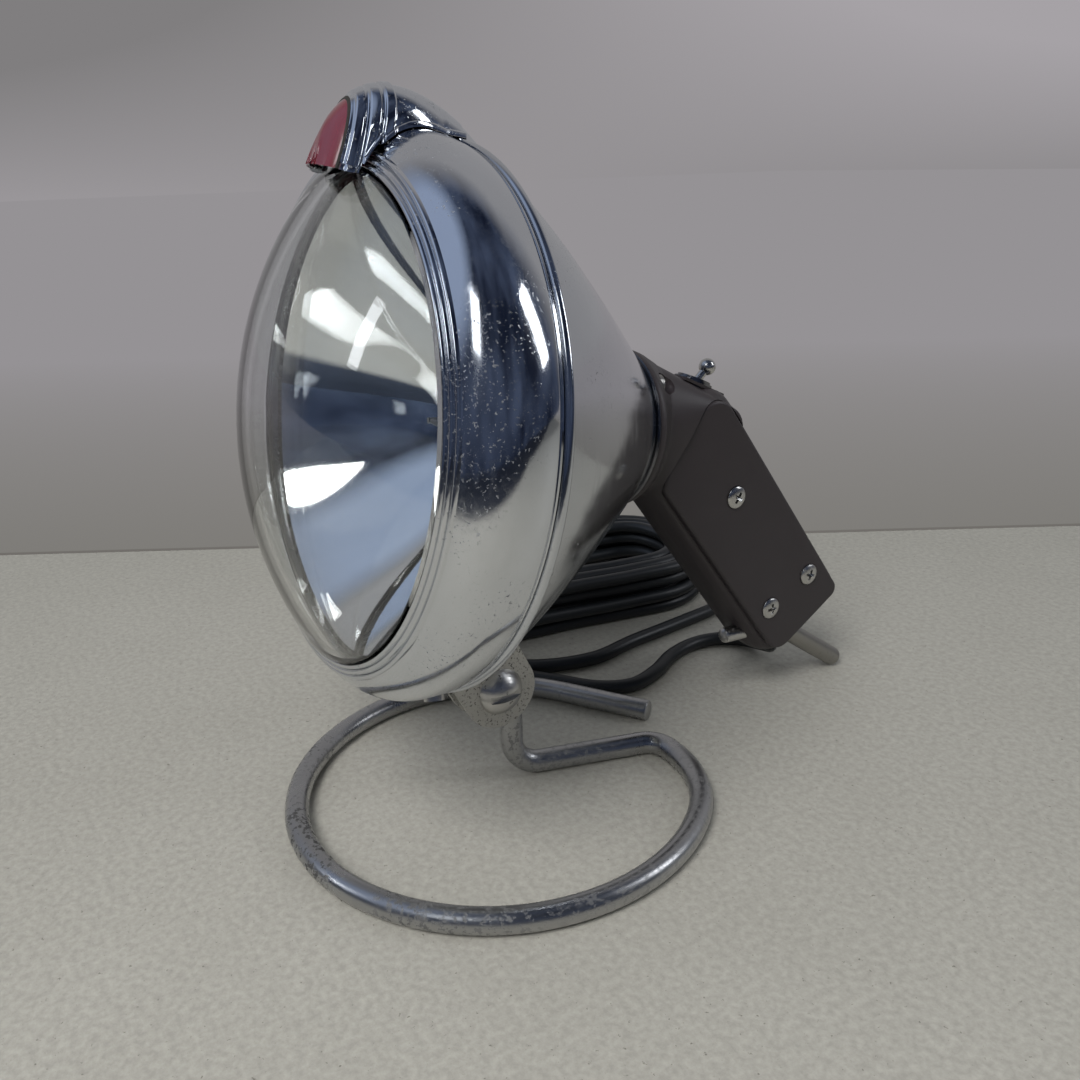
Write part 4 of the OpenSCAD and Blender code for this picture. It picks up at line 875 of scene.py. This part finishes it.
world = bpy.data.worlds.new("studio")
bpy.context.scene.world = world
world.use_nodes = True


class World(Mat):
    def __init__(self, tree):
        self.t = tree
        self.co = tree.nodes.new("ShaderNodeTexCoord").outputs["Generated"]


w = World(world.node_tree)
bg = w.t.nodes["Background"]


def along(x, y, z):
    n = w.t.nodes.new("ShaderNodeVectorMath")
    n.operation = "DOT_PRODUCT"
    n.inputs[1].default_value = (x, y, z)
    w.t.links.new(w.co, n.inputs[0])
    return n.outputs["Value"]


ahead, side, high = along(-0.854, 0.52, 0), along(0.52, 0.854, 0), along(0, 0, 1)
# Painted reflection: metal and glass see a dark room of patches, pale towards the wall behind the lamp,
# with a painted bright window patch; it lights nothing, as the other rays see an even grey.
dim = w.ramp(w.noise(2.2, 3), (0.38, lin(22, 28, 44)), (0.66, lin(72, 82, 104)))
painted_room = w.mix(w.ramp(ahead, (0.18, 0.0), (0.5, 1.0)), dim, lin(152, 151, 153))
painted_glare_at = along(-0.26, -0.63, 0.733)
painted_room = w.mix(w.ramp(painted_glare_at, (0.845, 0.0), (0.945, 1.0)), painted_room, lin(150, 164, 190))
# The camera sees a backdrop darker towards the upper left and lighter towards the upper right, painted
# light and shade on the wall.
backdrop = w.mix(w.math("ADD", w.math("MULTIPLY", w.math("MULTIPLY", side, high), 15.0), 0.5),
                 lin(128, 126, 127), lin(166, 162, 166))
rays = w.t.nodes.new("ShaderNodeLightPath").outputs
bent = w.math("MAXIMUM", rays["Is Glossy Ray"], rays["Is Transmission Ray"])
soft = w.mix(bent, (0.36, 0.37, 0.38, 1), painted_room)
w.t.links.new(w.mix(rays["Is Camera Ray"], soft, backdrop), bg.inputs["Color"])
bg.inputs["Strength"].default_value = 1.0


def area(name, loc, size, power, color=(1, 1, 1), size_y=None, target=(0, 0, 0.12)):
    d = bpy.data.lights.new(name, "AREA")
    d.shape = "RECTANGLE"
    d.size, d.size_y = size, size_y or size
    d.energy, d.color = power, color
    o = bpy.data.objects.new(name, d)
    bpy.context.scene.collection.objects.link(o)
    o.location = loc
    o.rotation_euler = (Vector(target) - Vector(loc)).to_track_quat("-Z", "Y").to_euler()
    return o


area("overhead", (0.40, -0.62, 0.88), 0.5, 10.5, (1.0, 0.985, 0.96)).visible_glossy = False
area("window_right", (0.80, 1.20, 0.95), 0.26, 4.0, (0.93, 0.96, 1.0), 0.75)
area("window_front", (0.80, -1.40, 1.64), 0.36, 3.2, (0.92, 0.96, 1.0), 0.70)
area("window_left", (-0.80, -1.72, 0.96), 0.16, 1.6, (0.93, 0.96, 1.0), 0.55)
